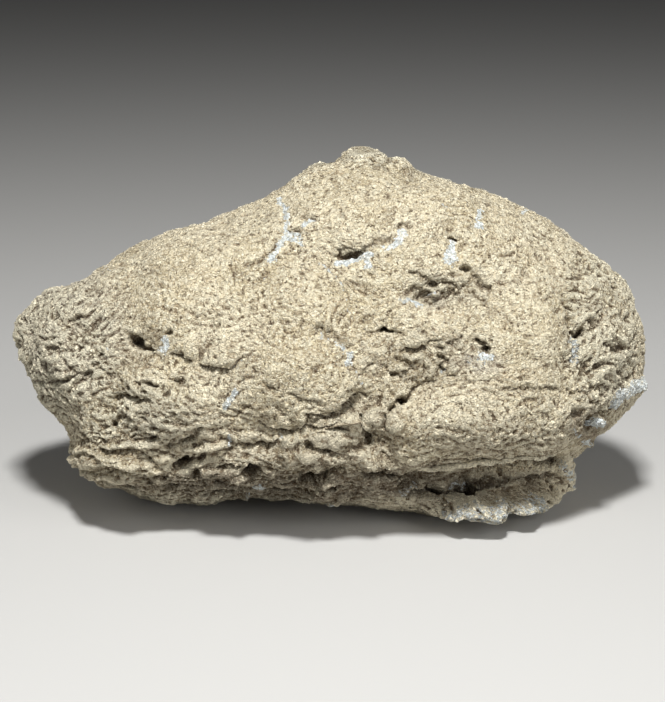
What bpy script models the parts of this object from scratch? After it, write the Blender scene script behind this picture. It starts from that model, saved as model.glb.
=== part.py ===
"""A large coprolite: one fossil lump, about 150 mm long, that stands on its own flat foot.

The lump is drawn as an outline in a plane that leans back from upright, and is swollen in front of
and behind that plane. Pads, ledges, creases and hollows are then raised or cut on the swollen shape.
Points in that plane are (u, v): u runs to the right, v up the lean, and w is the height in front.
Lengths are in millimetres until the finished points are turned to metres.
"""

import math

import bmesh
import bpy
import numpy as np
from mathutils import noise

MM = 0.001

LEAN_DEG = 15.0
MIDDLE = (0.0, 40.0)  # (u, v) from which the outline is swept
FRONT_DEPTH = 36.0
BACK_DEPTH = 39.0
BELLY = {"v": 25.0, "spread": 20.0, "swell": 3.5}
FRONT_ROUNDNESS = 0.82  # power of the sphere's own height: lower is boxier
BACK_ROUNDNESS = 0.72
FOOT_LEVEL = 1.6  # height at which the underside is cut flat
PAD_BLEND = 6  # the higher this power, the sharper the valleys between pads
RIM = {"blur_deg": 14.0, "reach": 0.22}  # the outline's nicks fade within this share of the depth
LEDGE_SOFTNESS = 1.3
SPHERE_CUTS = 7
TRIANGLES = 9500
STONE = (0.62, 0.53, 0.38, 1.0)

# The outline, clockwise from the left tip: over the crest, round the right end, back along the foot.
OUTLINE = [
    (-74.6, 40.0), (-72.6, 47.0), (-66.0, 53.7), (-60.8, 54.5), (-51.7, 60.2), (-46.5, 64.2),
    (-35.2, 65.6), (-27.2, 68.5), (-15.9, 73.4), (-7.6, 79.9), (-4.6, 81.7), (2.0, 82.6),
    (4.6, 86.1), (8.8, 86.1), (12.5, 84.2), (17.9, 83.1), (21.2, 79.8), (29.5, 79.0),
    (40.7, 73.0), (48.8, 69.7), (57.0, 63.8), (66.4, 57.8), (69.0, 54.9), (71.6, 47.7),
    (73.8, 41.2), (73.1, 37.0), (71.6, 32.6), (74.6, 31.6), (72.0, 27.6), (65.0, 20.6),
    (59.8, 18.2), (59.6, 15.4), (56.6, 14.4), (55.3, 10.4), (55.6, 6.6), (49.6, 5.6),
    (46.3, 4.4), (40.7, 2.6), (33.9, 2.8), (31.0, 1.8), (13.8, 1.6), (2.9, 2.2),
    (-4.1, 3.6), (-8.1, 5.2), (-12.8, 4.4), (-20.3, 5.0), (-26.2, 3.0), (-33.5, 2.8),
    (-42.3, 3.7), (-52.0, 7.6), (-60.4, 11.3), (-61.7, 15.3), (-61.6, 19.1), (-66.0, 25.0),
    (-70.2, 29.4), (-70.9, 33.0),
]  # fmt: skip

# Pads of the folded mass: centre, half-axes, turn in degrees (anticlockwise) and how proud they stand.
FRONT_PADS = {
    "dome": {"at": (22, 66), "half": (35, 22), "turn": -6, "proud": 3.2},
    "left_shoulder": {"at": (-29, 52), "half": (25, 17), "turn": 14, "proud": 3.2},
    "egg": {"at": (-8, 49), "half": (12, 11), "turn": 0, "proud": 3.6},
    "belly": {"at": (-9, 33), "half": (18, 12), "turn": -4, "proud": 4.6},
    "low_belly": {"at": (-3, 16), "half": (14, 8), "turn": 4, "proud": 3.0},
    "left_end": {"at": (-60, 38), "half": (19, 21), "turn": 0, "proud": 2.2},
    "left_waist": {"at": (-35, 28), "half": (15, 11), "turn": 0, "proud": 2.6},
    "left_foot": {"at": (-44, 14), "half": (22, 9), "turn": -8, "proud": 3.0},
    "right_flank": {"at": (41, 44), "half": (18, 20), "turn": 0, "proud": 3.2},
    "right_end": {"at": (63, 44), "half": (13, 20), "turn": 0, "proud": 2.6},
    "loaf": {"at": (35, 22), "half": (30, 12), "turn": 5, "proud": 4.6},
    "heel_lip": {"at": (33, 3.6), "half": (26, 3.4), "turn": 5, "proud": 4.0},
}
BACK_PADS = {
    "left_bun": {"at": (-42, 44), "half": (28, 22), "turn": -12, "proud": 3.4},
    "middle_bun": {"at": (-4, 54), "half": (25, 26), "turn": 20, "proud": 4.2},
    "right_bun": {"at": (40, 46), "half": (28, 24), "turn": 10, "proud": 3.4},
    "low_left": {"at": (-30, 18), "half": (30, 14), "turn": 6, "proud": 3.4},
    "low_right": {"at": (24, 20), "half": (34, 15), "turn": -5, "proud": 4.0},
}

# Ledges: on the left of each path the surface stands over, and on its right it is cut back.
FRONT_LEDGES = {
    "shoulder": {"path": [(-37, 38), (-31, 37), (-25, 35), (-21, 35), (-16, 39)], "step": 1.6, "reach": 4},
    "dome_crack": {"path": [(-24, 57), (-14, 58), (-11, 61), (-10, 66), (-11, 72)], "step": 1.1, "reach": 3},
    "belly_edge": {"path": [(-15, 21), (-9, 22), (-1, 25), (4, 27), (8, 31)], "step": 1.8, "reach": 3.8},
    "belly_top": {"path": [(9, 34), (4, 39), (-1, 43), (-8, 43)], "step": -1.1, "reach": 3},
    "waist_fold": {"path": [(-62, 20), (-48, 19), (-36, 18), (-27, 21)], "step": 1.2, "reach": 2.8},
    "foot_fold": {"path": [(-62, 14), (-49, 14), (-40, 13), (-32, 15)], "step": 1.3, "reach": 2.8},
    "loaf_brow": {"path": [(13, 11), (22, 10.5), (32, 12), (42, 13), (55, 14)], "step": 2.4, "reach": 5},
    "loaf_top": {"path": [(34, 30.5), (42, 30.2), (50, 30.4), (58, 26.5)], "step": 0.8, "reach": 2.6},
    "torn_brow": {"path": [(10, 40), (14, 38.5), (18, 39), (22, 41)], "step": 1.3, "reach": 2.6},
    "torn_step": {"path": [(12, 34), (17, 34.5), (23, 35.5), (26, 39)], "step": 1.2, "reach": 2.6},
}

# Creases and seams: the path that each follows, how deep and how wide it is.
FRONT_CREASES = {
    "egg_right": {"path": [(-2, 58), (2, 54), (3, 49), (2, 44)], "deep": 1.0, "wide": 2.8},
    "valley": {"path": [(4, 37), (8, 30), (6.5, 24), (8, 17)], "deep": 1.8, "wide": 2.8},
    "loaf_corner": {"path": [(8, 30), (12, 27), (16, 29), (21, 33)], "deep": 2.4, "wide": 2.6},
    "end_seam": {"path": [(48, 61), (50, 54), (51.5, 47), (52, 40), (57, 33)], "deep": 1.1, "wide": 2.8},
    "left_seam": {"path": [(-46, 63), (-44, 54), (-45, 46), (-44, 38), (-50, 30)], "deep": 1.2, "wide": 3.0},
    "heel_gap": {"path": [(15, 8), (24, 7.5), (36, 9), (50, 10)], "deep": 3.6, "wide": 3.0},
    "left_low": {"path": [(-49, 27), (-46, 28.5), (-42, 27.5)], "deep": 1.8, "wide": 2.4},
}
BACK_CREASES = {
    "long_seam": {"path": [(-60, 30), (-35, 32), (-8, 29), (20, 34), (52, 30)], "deep": 1.8, "wide": 3.2},
    "left_seam": {"path": [(-24, 68), (-20, 52), (-24, 34)], "deep": 1.7, "wide": 3.0},
    "right_seam": {"path": [(20, 76), (14, 58), (18, 38)], "deep": 1.6, "wide": 3.0},
}

# Hollows: centre, half-axes, turn and depth.
FRONT_HOLLOWS = {
    "dome_slit": {"at": (4.0, 59.5), "half": (5.0, 2.0), "turn": 14, "deep": 3.4},
    "hook": {"at": (15.0, 64.5), "half": (2.2, 2.6), "turn": -20, "deep": 1.6},
    "drop": {"at": (26.2, 62.0), "half": (2.2, 3.0), "turn": 0, "deep": 2.2},
    "flank_cave": {"at": (21.5, 50.6), "half": (5.6, 2.6), "turn": 4, "deep": 3.6},
    "flank_brow": {"at": (31.5, 54.0), "half": (5.0, 1.9), "turn": -40, "deep": 2.0},
    "end_pit": {"at": (53.6, 43.2), "half": (2.6, 2.2), "turn": 0, "deep": 3.2},
    "left_pit": {"at": (-42.4, 40.2), "half": (3.2, 2.4), "turn": -20, "deep": 2.4},
    "torn_pit": {"at": (11.0, 42.6), "half": (3.4, 2.0), "turn": 0, "deep": 2.6},
    "torn_field": {"at": (21.0, 37.5), "half": (9.0, 4.5), "turn": 8, "deep": 1.6},
    "torn_dent": {"at": (31.5, 38.8), "half": (3.4, 2.4), "turn": -30, "deep": 2.2},
    "foot_cave": {"at": (-31.0, 13.6), "half": (5.0, 2.6), "turn": 20, "deep": 3.0},
    "low_cave": {"at": (-5.0, 11.0), "half": (6.5, 2.2), "turn": 0, "deep": 2.0},
    "crest_dent": {"at": (17.5, 78.5), "half": (4.0, 2.4), "turn": -20, "deep": 1.8},
}
BACK_HOLLOWS = {
    "socket": {"at": (-2, 60), "half": (6, 4), "turn": 30, "deep": 2.8},
    "scar": {"at": (44, 38), "half": (9, 4), "turn": -20, "deep": 2.4},
    "nick": {"at": (-48, 52), "half": (5, 3), "turn": 10, "deep": 2.2},
}

# Uneven relief: size of the bumps, how far they rise, where the noise starts, and their share
# away from the weathered left end.
ROUGHNESS = [
    {"size": 30.0, "rise": 1.5, "start": 3.1, "elsewhere": 1.0},
    {"size": 13.0, "rise": 1.3, "start": 17.4, "elsewhere": 0.85},
    {"size": 6.5, "rise": 1.2, "start": 41.9, "elsewhere": 0.45},
]
WEATHERED_FROM = -40.0  # left of this u the lump is rougher
WEATHERED_FADE = 12.0


def clear_scene():
    for thing in list(bpy.data.objects):
        bpy.data.objects.remove(thing)


def smooth_loop(points, per_span=8):
    """Points of a closed Catmull-Rom curve through the given ones."""
    knots = np.array(points, float)
    before, after, beyond = (np.roll(knots, shift, axis=0) for shift in (1, -1, -2))
    spans = []
    for t in np.arange(per_span) / per_span:
        spans.append(
            0.5
            * (
                2 * knots
                + (after - before) * t
                + (2 * before - 5 * knots + 4 * after - beyond) * t**2
                + (3 * knots - before - 3 * after + beyond) * t**3
            )
        )
    return np.stack(spans, axis=1).reshape(-1, 2)


def reach(angles, c):
    """How far the lump goes from its middle in each direction: nicked at the rim, plain away from it."""
    loop = smooth_loop(OUTLINE) - np.array(MIDDLE)
    around = np.arctan2(loop[:, 1], loop[:, 0])
    order = np.argsort(around)
    degrees = np.arange(-180, 180)
    nicked = np.interp(np.radians(degrees), around[order], np.hypot(*loop.T)[order], period=2 * math.pi)
    bell = np.exp(-((degrees / RIM["blur_deg"]) ** 2))
    plain = np.fft.irfft(np.fft.rfft(nicked) * np.fft.rfft(np.fft.ifftshift(bell / bell.sum())))
    rim = np.exp(-((c / RIM["reach"]) ** 2))
    return sum(
        share * np.interp(angles, np.radians(degrees), radii, period=2 * math.pi)
        for share, radii in ((rim, nicked), (1 - rim, plain))
    )


def ramp(values, low, high):
    """0 below low, 1 above high, and smooth between them."""
    t = np.clip((values - low) / (high - low), 0, 1)
    return t * t * (3 - 2 * t)


def rings(u, v, shape):
    """0 at the middle of a turned ellipse, 1 on its edge and more outside."""
    turn = math.radians(shape["turn"])
    du, dv = u - shape["at"][0], v - shape["at"][1]
    along = (du * math.cos(turn) + dv * math.sin(turn)) / shape["half"][0]
    across = (dv * math.cos(turn) - du * math.sin(turn)) / shape["half"][1]
    return np.hypot(along, across)


def beside_path(u, v, path):
    """Signed distance to an open line, positive on its left, and how far along it, from 0 to 1."""
    lengths = [math.dist(start, end) for start, end in zip(path, path[1:])]
    nearest = np.full(u.shape, np.inf)
    signed, along = np.zeros(u.shape), np.zeros(u.shape)
    passed = 0.0
    for (u0, v0), (u1, v1), length in zip(path, path[1:], lengths):
        run, rise = (u1 - u0) / length, (v1 - v0) / length
        t = np.clip((u - u0) * run + (v - v0) * rise, 0, length)
        away = np.hypot(u - u0 - t * run, v - v0 - t * rise)
        closer = away < nearest
        side = np.where((v - v0) * run - (u - u0) * rise >= 0, 1.0, -1.0)
        signed = np.where(closer, side * away, signed)
        along = np.where(closer, (passed + t) / sum(lengths), along)
        nearest = np.where(closer, away, nearest)
        passed += length
    return signed, along


def pad_height(u, v, pads):
    """Overlapping rounded pads: the highest one nearly hides the others, so they meet in valleys."""
    heights = [pad["proud"] * np.clip(1 - rings(u, v, pad) ** 2, 0, None) ** 0.9 for pad in pads.values()]
    return sum(height**PAD_BLEND for height in heights) ** (1 / PAD_BLEND)


def ledge_height(u, v, ledges):
    """A soft step across each ledge, which dies away on both sides and at both ends."""
    height = np.zeros_like(u)
    for ledge in ledges.values():
        across, along = beside_path(u, v, ledge["path"])
        fade = np.exp(-((across / ledge["reach"]) ** 2)) * ramp(along, 0, 0.2) * ramp(1 - along, 0, 0.2)
        height += ledge["step"] * np.tanh(across / LEDGE_SOFTNESS) * fade
    return height


def carving(u, v, creases, hollows):
    """How deep the creases and hollows go."""
    depth = np.zeros_like(u)
    for crease in creases.values():
        away = beside_path(u, v, crease["path"])[0] / crease["wide"]
        depth = np.maximum(depth, crease["deep"] * np.exp(-(away**2)))
    for hollow in hollows.values():
        depth = np.maximum(depth, hollow["deep"] * np.exp(-(rings(u, v, hollow) ** 2)))
    return depth


def swollen_points(sphere):
    """Carries the points of a unit sphere to the lump's outline, depths and pads, as (u, v, w)."""
    a, b, c = sphere.T
    angles = np.arctan2(b, a)
    spread = np.hypot(a, b) * reach(angles, c)
    u = MIDDLE[0] + spread * np.cos(angles)
    v = MIDDLE[1] + spread * np.sin(angles)
    belly = BELLY["swell"] * np.exp(-(((v - BELLY["v"]) / BELLY["spread"]) ** 2))
    front = (FRONT_DEPTH + belly) * np.abs(c) ** FRONT_ROUNDNESS
    back = BACK_DEPTH * np.abs(c) ** BACK_ROUNDNESS
    front += ramp(c, 0.05, 0.45) * pad_height(u, v, FRONT_PADS)
    back += ramp(-c, 0.05, 0.45) * pad_height(u, v, BACK_PADS)
    return np.column_stack([u, v, np.where(c >= 0, front, -back)])


def roughness(points):
    """Uneven rise at each point, from layers of smooth noise, stronger on the weathered end."""
    weathered = ramp(-points[:, 0], -WEATHERED_FROM, WEATHERED_FADE - WEATHERED_FROM)
    rise = np.zeros(len(points))
    for layer in ROUGHNESS:
        seeded = points / layer["size"] + layer["start"]
        share = layer["elsewhere"] + (1 - layer["elsewhere"]) * weathered
        rise += layer["rise"] * share * np.array([noise.noise(p) for p in seeded])
    return rise


def stood_up(points):
    """From the leaning plane's (u, v, w) to upright x, y, z."""
    u, v, w = points.T
    lean = math.radians(LEAN_DEG)
    y = v * math.sin(lean) - w * math.cos(lean)
    z = v * math.cos(lean) + w * math.sin(lean)
    return np.column_stack([u, y, z])


def mesh_points(mesh):
    points = np.empty(len(mesh.vertices) * 3)
    mesh.vertices.foreach_get("co", points)
    return points.reshape(-1, 3)


def set_points(mesh, points):
    mesh.vertices.foreach_set("co", points.ravel())
    mesh.update()


def sculpted_mesh():
    """The whole lump as a fine closed mesh, in metres."""
    shape = bmesh.new()
    bmesh.ops.create_icosphere(shape, subdivisions=SPHERE_CUTS, radius=1)
    mesh = bpy.data.meshes.new("coprolite")
    shape.to_mesh(mesh)
    shape.free()

    sphere = mesh_points(mesh)
    points = swollen_points(sphere)
    set_points(mesh, points)
    normals = np.array([vertex.normal for vertex in mesh.vertices])

    u, v, _ = points.T
    in_front, behind = ramp(sphere[:, 2], 0.0, 0.3), ramp(-sphere[:, 2], 0.0, 0.3)
    relief = roughness(points)
    relief += in_front * (ledge_height(u, v, FRONT_LEDGES) - carving(u, v, FRONT_CREASES, FRONT_HOLLOWS))
    relief -= behind * carving(u, v, BACK_CREASES, BACK_HOLLOWS)
    points += normals * relief[:, None]
    set_points(mesh, stood_up(points) * MM)
    return mesh


def ground_cutter():
    """A block whose top trims the foot flat."""
    thick = 100 * MM
    bpy.ops.mesh.primitive_cube_add(size=1, location=(0, 0, FOOT_LEVEL * MM - thick / 2))
    block = bpy.context.object
    block.name = "ground"
    block.scale = (300 * MM, 300 * MM, thick)
    block.hide_render = True
    block.display_type = "WIRE"
    return block


def trimmed(mesh):
    """The lump with fewer faces and a flat foot, centred over its foot."""
    lump = bpy.data.objects.new("coprolite", mesh)
    bpy.context.scene.collection.objects.link(lump)
    fewer = lump.modifiers.new("fewer_faces", "DECIMATE")
    fewer.ratio = TRIANGLES / len(mesh.polygons)
    foot = lump.modifiers.new("flat_foot", "BOOLEAN")
    foot.operation = "DIFFERENCE"
    foot.object = ground_cutter()

    graph = bpy.context.evaluated_depsgraph_get()
    lump.data = bpy.data.meshes.new_from_object(lump.evaluated_get(graph))
    lump.modifiers.clear()
    points = mesh_points(lump.data)
    middle = (points.min(axis=0) + points.max(axis=0)) / 2
    set_points(lump.data, points - [middle[0], middle[1], points[:, 2].min()])
    return lump


def stone():
    material = bpy.data.materials.new("sandy_stone")
    material.use_nodes = True
    surface = material.node_tree.nodes["Principled BSDF"]
    surface.inputs["Base Color"].default_value = STONE
    surface.inputs["Roughness"].default_value = 0.92
    surface.inputs["Metallic"].default_value = 0.0
    return material


def main():
    clear_scene()
    lump = trimmed(sculpted_mesh())
    lump.data.materials.clear()
    lump.data.materials.append(stone())
    lump.data.shade_flat()


main()
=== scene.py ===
import math

import bmesh
import bpy
import numpy as np
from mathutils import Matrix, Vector, noise


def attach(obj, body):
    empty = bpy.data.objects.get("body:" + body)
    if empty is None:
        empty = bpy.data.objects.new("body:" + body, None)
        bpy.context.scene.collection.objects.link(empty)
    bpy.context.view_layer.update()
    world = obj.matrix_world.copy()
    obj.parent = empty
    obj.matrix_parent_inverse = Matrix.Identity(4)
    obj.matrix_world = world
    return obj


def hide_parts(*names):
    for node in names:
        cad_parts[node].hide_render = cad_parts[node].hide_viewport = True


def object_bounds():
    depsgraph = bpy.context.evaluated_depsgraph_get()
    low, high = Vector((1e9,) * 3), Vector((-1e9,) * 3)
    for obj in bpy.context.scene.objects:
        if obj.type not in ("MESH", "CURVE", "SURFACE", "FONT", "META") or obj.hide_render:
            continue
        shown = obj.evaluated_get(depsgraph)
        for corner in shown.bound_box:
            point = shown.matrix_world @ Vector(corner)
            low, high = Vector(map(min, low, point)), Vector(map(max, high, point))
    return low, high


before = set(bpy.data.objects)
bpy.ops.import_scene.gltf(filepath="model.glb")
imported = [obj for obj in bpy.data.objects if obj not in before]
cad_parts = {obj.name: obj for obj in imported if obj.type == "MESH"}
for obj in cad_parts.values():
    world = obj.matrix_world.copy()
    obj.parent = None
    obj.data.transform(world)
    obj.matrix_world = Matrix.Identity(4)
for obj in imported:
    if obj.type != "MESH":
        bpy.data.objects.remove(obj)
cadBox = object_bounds()
mm = 0.001
print("frame loaded")

# where the lump is looked at from: the forms on its front are placed in this view, in its pixels
viewpoint = {
    "picture": (665, 702),  # pixels, wide and high
    "mmPerPixel": 0.2355,  # in the plane through the target
    "distance": 450,  # mm
    "downDeg": 15,
    "target": (0.41, -0.33, 35.68),  # mm
    "sensor": 36,
}


def viewAxes():
    down = math.radians(viewpoint["downDeg"])
    right = np.array([1.0, 0.0, 0.0])
    up = np.array([0.0, math.sin(down), math.cos(down)])
    toward = np.array([0.0, -math.cos(down), math.sin(down)])
    return right, up, toward


def seenAt(points):
    # pixel across, pixel down, mm per pixel at each point, and how far it stands in front of the target
    right, up, toward = viewAxes()
    away = points - np.array(viewpoint["target"])
    front = away @ toward
    scale = viewpoint["mmPerPixel"] * (1 - front / viewpoint["distance"])
    wide, high = viewpoint["picture"]
    return wide / 2 + away @ right / scale, high / 2 - away @ up / scale, scale, front


def makeCamera():
    data = bpy.data.cameras.new("camera")
    camera = bpy.data.objects.new("camera", data)
    bpy.context.scene.collection.objects.link(camera)
    wide, high = viewpoint["picture"]
    data.sensor_width = viewpoint["sensor"]
    data.lens = viewpoint["sensor"] * viewpoint["distance"] / viewpoint["mmPerPixel"] / max(wide, high)
    toward = Vector(viewAxes()[2])
    camera.location = (Vector(viewpoint["target"]) + toward * viewpoint["distance"]) * mm
    camera.rotation_euler = toward.to_track_quat("Z", "Y").to_euler()
    bpy.context.scene.camera = camera


makeCamera()
print("camera placed")


def ramp(values, low, high):
    t = np.clip((values - low) / (high - low), 0, 1)
    return t * t * (3 - 2 * t)


def readPoints(mesh):
    flat = np.empty(len(mesh.vertices) * 3)
    mesh.vertices.foreach_get("co", flat)
    return flat.reshape(-1, 3) / mm


def writePoints(mesh, points):
    mesh.vertices.foreach_set("co", (points * mm).ravel())
    mesh.update()


def readNormals(mesh):
    flat = np.empty(len(mesh.vertices) * 3)
    mesh.vertex_normals.foreach_get("vector", flat)
    return flat.reshape(-1, 3)


def readEdges(mesh):
    flat = np.empty(len(mesh.edges) * 2, int)
    mesh.edges.foreach_get("vertices", flat)
    return flat.reshape(-1, 2)


def smoothed(values, edges, turns, strength=0.5):
    # each point moves towards the mean of its neighbours
    values = np.array(values, float).reshape(len(values), -1)
    ends = np.concatenate([edges, edges[:, ::-1]])
    count = np.bincount(ends[:, 0], minlength=len(values))
    for turn in range(turns):
        sums = [np.bincount(ends[:, 0], values[ends[:, 1], i], len(values)) for i in range(values.shape[1])]
        values = values + strength * (np.stack(sums, axis=1) / count[:, None] - values)
    return values.squeeze()


def perlin(points, size, start, stretch=(1, 1, 1)):
    seeds = points / (size * np.array(stretch)) + start
    return np.array([noise.noise(p) for p in seeds])


def fractal(points, size, start, stretch=(1, 1, 1)):
    seeds = points / (size * np.array(stretch)) + start
    return np.array([noise.fractal(p, 0.7, 2.1, 4) for p in seeds])


# the lump's skin: the solid's form, made smooth and fine enough to carve
skinSizes = {
    "voxel": 1.42,  # mm
    "formTurns": 14,  # how long the solid's flat facets are smoothed
    "finer": ((-16, -0.35), (-4, 0.16)),  # faces split in four: least mm in front, and least facing
    "nearCrease": 0.5,  # mm beside a crease within which it is split once more
    "inset": 0.3,  # mm the skin starts inside the solid, as room for its grains
    "carvedTurns": 1,  # how long and how strongly carved relief is smoothed
    "carvedStrength": 0.2,
    "eased": 0.8,  # mm from the box's sides within which relief fades out
    "most": 199000,  # triangles kept once it is carved
}


def makeSkin():
    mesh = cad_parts["coprolite"].data.copy()
    skin = bpy.data.objects.new("coproliteSkin", mesh)
    bpy.context.scene.collection.objects.link(skin)
    shape = bmesh.new()
    shape.from_mesh(mesh)
    bmesh.ops.remove_doubles(shape, verts=shape.verts, dist=0.002 * mm)
    shape.to_mesh(mesh)
    shape.free()
    remesh = skin.modifiers.new("even", "REMESH")
    remesh.mode = "VOXEL"
    remesh.voxel_size = skinSizes["voxel"] * mm
    graph = bpy.context.evaluated_depsgraph_get()
    skin.data = bpy.data.meshes.new_from_object(skin.evaluated_get(graph))
    skin.modifiers.clear()
    return skin


def splitFaces(mesh, chosenPoints, facing=-1):
    # every face that touches a chosen point is split in four
    shape = bmesh.new()
    shape.from_mesh(mesh)
    toward = Vector(viewAxes()[2])
    chosen = set()
    for face in shape.faces:
        if any(chosenPoints[v.index] for v in face.verts) and face.normal.dot(toward) > facing:
            chosen.update(face.edges)
    bmesh.ops.subdivide_edges(shape, edges=list(chosen), cuts=1, use_grid_fill=True)
    shape.to_mesh(mesh)
    shape.free()


def thin(skin, most):
    # the even places give up triangles, and the carved ones keep theirs
    skin.data.calc_loop_triangles()
    modifier = skin.modifiers.new("thin", "DECIMATE")
    modifier.ratio = min(1, most / len(skin.data.loop_triangles))
    graph = bpy.context.evaluated_depsgraph_get()
    skin.data = bpy.data.meshes.new_from_object(skin.evaluated_get(graph))
    skin.modifiers.clear()
    skin.data.calc_loop_triangles()
    print("skin thinned to", len(skin.data.loop_triangles), "triangles")


skin = makeSkin()
for fromFront, facing in skinSizes["finer"]:
    splitFaces(skin.data, seenAt(readPoints(skin.data))[3] > fromFront, facing)
    skinEdges = readEdges(skin.data)
    writePoints(skin.data, smoothed(readPoints(skin.data), skinEdges, skinSizes["formTurns"]))
writePoints(skin.data, readPoints(skin.data) - skinSizes["inset"] * readNormals(skin.data))


# how far the view is stirred, so that no edge runs clean: size of the swirls and reach, in mm
viewStirs = {7: 0.6, 2.6: 0.55, 1.2: 0.45}

# the front, between none of it and all of it, and how far down its forms may be pushed
frontSide = {"facing": (0.02, 0.3), "mmInFront": (-14, -6), "down": -0.1}

# how marks are shaped. An edge is where a spot starts to fade and where it ends, as shares of its half-sizes
markShapes = {
    "creaseEnds": 0.12,  # share of its length over which a line fades at each end
    "ridgeEnds": 0.2,
    "sharp": 1.3,  # a groove's curve, which is round at 2
    # painted shade in grooves and pits: how wide it spreads beside a groove, and how dark a crease and a pit
    # are
    "shadeWide": 1.3,  # times the groove's half-width
    "step": 0.45,  # mm over which a crease's upper side rises
    "reach": 2.5,  # mm over which it falls back
    "creaseShade": 0.5,
    "pitShade": 0.7,
    "pitEdge": (0.35, 1.15),
    "bumpEdge": (0.3, 1.15),
    "whiteEdge": (0.5, 1.1),
    "areaEdge": (0.5, 1.2),
    "areaFacing": (-0.15, 0.65),
    "lean": 0.75,  # share of a wrinkle on which it swells
}


def stirred(points, start):
    return sum(reach * perlin(points, size, start + size) for size, reach in viewStirs.items())


def carveState(mesh):
    points, normals = readPoints(mesh), readNormals(mesh)
    across, down, scale, front = seenAt(points)
    toward = viewAxes()[2]
    facing = ramp(normals @ toward, *frontSide["facing"]) * ramp(front, *frontSide["mmInFront"])
    # the front's forms are pushed level, so that its under sides get ledges
    push = normals.copy()
    push[:, 2] = np.maximum(push[:, 2], frontSide["down"])
    push /= np.linalg.norm(push, axis=1)[:, None]
    return {
        "points": points,
        "push": normals + (push - normals) * facing[:, None],
        "across": across + stirred(points, 5.3) / scale,
        "down": down + stirred(points, 81.1) / scale,
        "scale": scale,
        "facing": facing,
        "crumb": perlin(points, 0.9, 12.9) + 0.5 * perlin(points, 2.1, 44.4),
        "rise": np.zeros(len(points)),
        "white": np.zeros(len(points)),
        "stain": np.zeros(len(points)),
    }


def besidePath(state, path):
    # signed mm to an open line, positive on its upper side where it runs to the right, and the share run
    steps = [math.dist(a, b) for a, b in zip(path, path[1:])]
    across, down = state["across"], state["down"]
    nearest = np.full(len(across), np.inf)
    signed, share, passed = np.zeros(len(across)), np.zeros(len(across)), 0
    for (x0, y0), (x1, y1), step in zip(path, path[1:], steps):
        run, fall = (x1 - x0) / step, (y1 - y0) / step
        t = np.clip((across - x0) * run + (down - y0) * fall, 0, step)
        away = np.hypot(across - x0 - t * run, down - y0 - t * fall)
        side = np.where(run * (down - y0) - fall * (across - x0) > 0, -1.0, 1.0)
        closer = away < nearest
        signed = np.where(closer, side * away, signed)
        share = np.where(closer, (passed + t) / sum(steps), share)
        nearest = np.where(closer, away, nearest)
        passed += step
    return signed * state["scale"], share


def besideSpot(state, spot):
    # 0 at the middle of a turned ellipse and 1 on its edge
    turn = math.radians(spot["turn"])
    x, y = state["across"] - spot["at"][0], spot["at"][1] - state["down"]
    along = (x * math.cos(turn) + y * math.sin(turn)) / spot["half"][0]
    over = (y * math.cos(turn) - x * math.sin(turn)) / spot["half"][1]
    return np.hypot(along, over)


def fadingEnds(share, fade):
    return ramp(share, 0, fade) * ramp(1 - share, 0, fade)


# painted shade, with some real stain: raises the mark that darkens the stone's colour
def darken(state, amount):
    state["stain"] = np.maximum(state["stain"], amount)


def pressCrease(state, crease):
    # a groove, whose upper side stands proud by "lift"
    away, share = besidePath(state, crease["path"])
    ends = fadingEnds(share, markShapes["creaseEnds"])
    groove = crease["deep"] * np.exp(-((np.abs(away) / crease["wide"]) ** markShapes["sharp"]))
    over = 0.5 + 0.5 * np.tanh(away / markShapes["step"])
    fall = np.exp(-np.maximum(away, 0) / crease.get("reach", markShapes["reach"]))
    lift = crease.get("lift", 0) * over * fall
    state["rise"] += state["facing"] * ends * (lift - groove)
    # painted shade along the groove, darkest in its middle
    dark = crease.get("stain", markShapes["creaseShade"])
    dark = dark * np.exp(-((np.abs(away) / (markShapes["shadeWide"] * crease["wide"])) ** 2))
    darken(state, state["facing"] * ends * dark)


def pressPit(state, pit):
    inside = 1 - ramp(besideSpot(state, pit), *markShapes["pitEdge"])
    state["rise"] -= state["facing"] * pit["deep"] * inside
    # painted shade in the pit
    darken(state, state["facing"] * pit.get("stain", markShapes["pitShade"]) * inside)


def raiseBump(state, bump):
    inside = 1 - ramp(besideSpot(state, bump), *markShapes["bumpEdge"])
    state["rise"] += state["facing"] * bump["rise"] * inside


def raiseRidge(state, ridge):
    away, share = besidePath(state, ridge["path"])
    ends = fadingEnds(share, markShapes["ridgeEnds"])
    state["rise"] += state["facing"] * ends * ridge["rise"] * np.exp(-((away / ridge["wide"]) ** 2))


def wrinkle(state, flow):
    # small steps that run along a line: each swells on its way down and then falls back
    away, share = besidePath(state, flow["path"])
    length = sum(math.dist(a, b) for a, b in zip(flow["path"], flow["path"][1:])) * state["scale"]
    inside = np.exp(-((away / flow["reach"]) ** 4)) * state["facing"]
    start = flow["path"][0][0]
    lean = flow.get("lean", markShapes["lean"])
    for octave, strength in ((1, 1), (2.3, 0.4)):
        along, over = share * length / flow["long"] * octave, away / flow["short"] * octave
        seeds = np.stack([along, over / 2.5, np.full(len(away), 9.7 * octave)], axis=1)
        step = np.mod(-over + 2.2 * perlin(seeds, 1, start), 1)
        swell = np.where(step < lean, step / lean, (1 - step) / (1 - lean)) - 0.4
        patchy = ramp(perlin(seeds, 0.8, start + 5), -0.2, 0.25)
        state["rise"] += flow["deep"] * strength * inside * swell * patchy


def whiten(state, patch):
    # along a line, or over a spot, with a crumbling edge
    if "path" in patch:
        out = np.abs(besidePath(state, patch["path"])[0]) / patch["wide"]
    else:
        out = besideSpot(state, patch)
    out = out / (0.8 + 0.5 * ramp(state["crumb"], -0.5, 0.5))
    mark = patch.get("strength", 1) * (1 - ramp(out, *markShapes["whiteEdge"]))
    state["white"] = np.maximum(state["white"], state["facing"] * mark)


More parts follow.
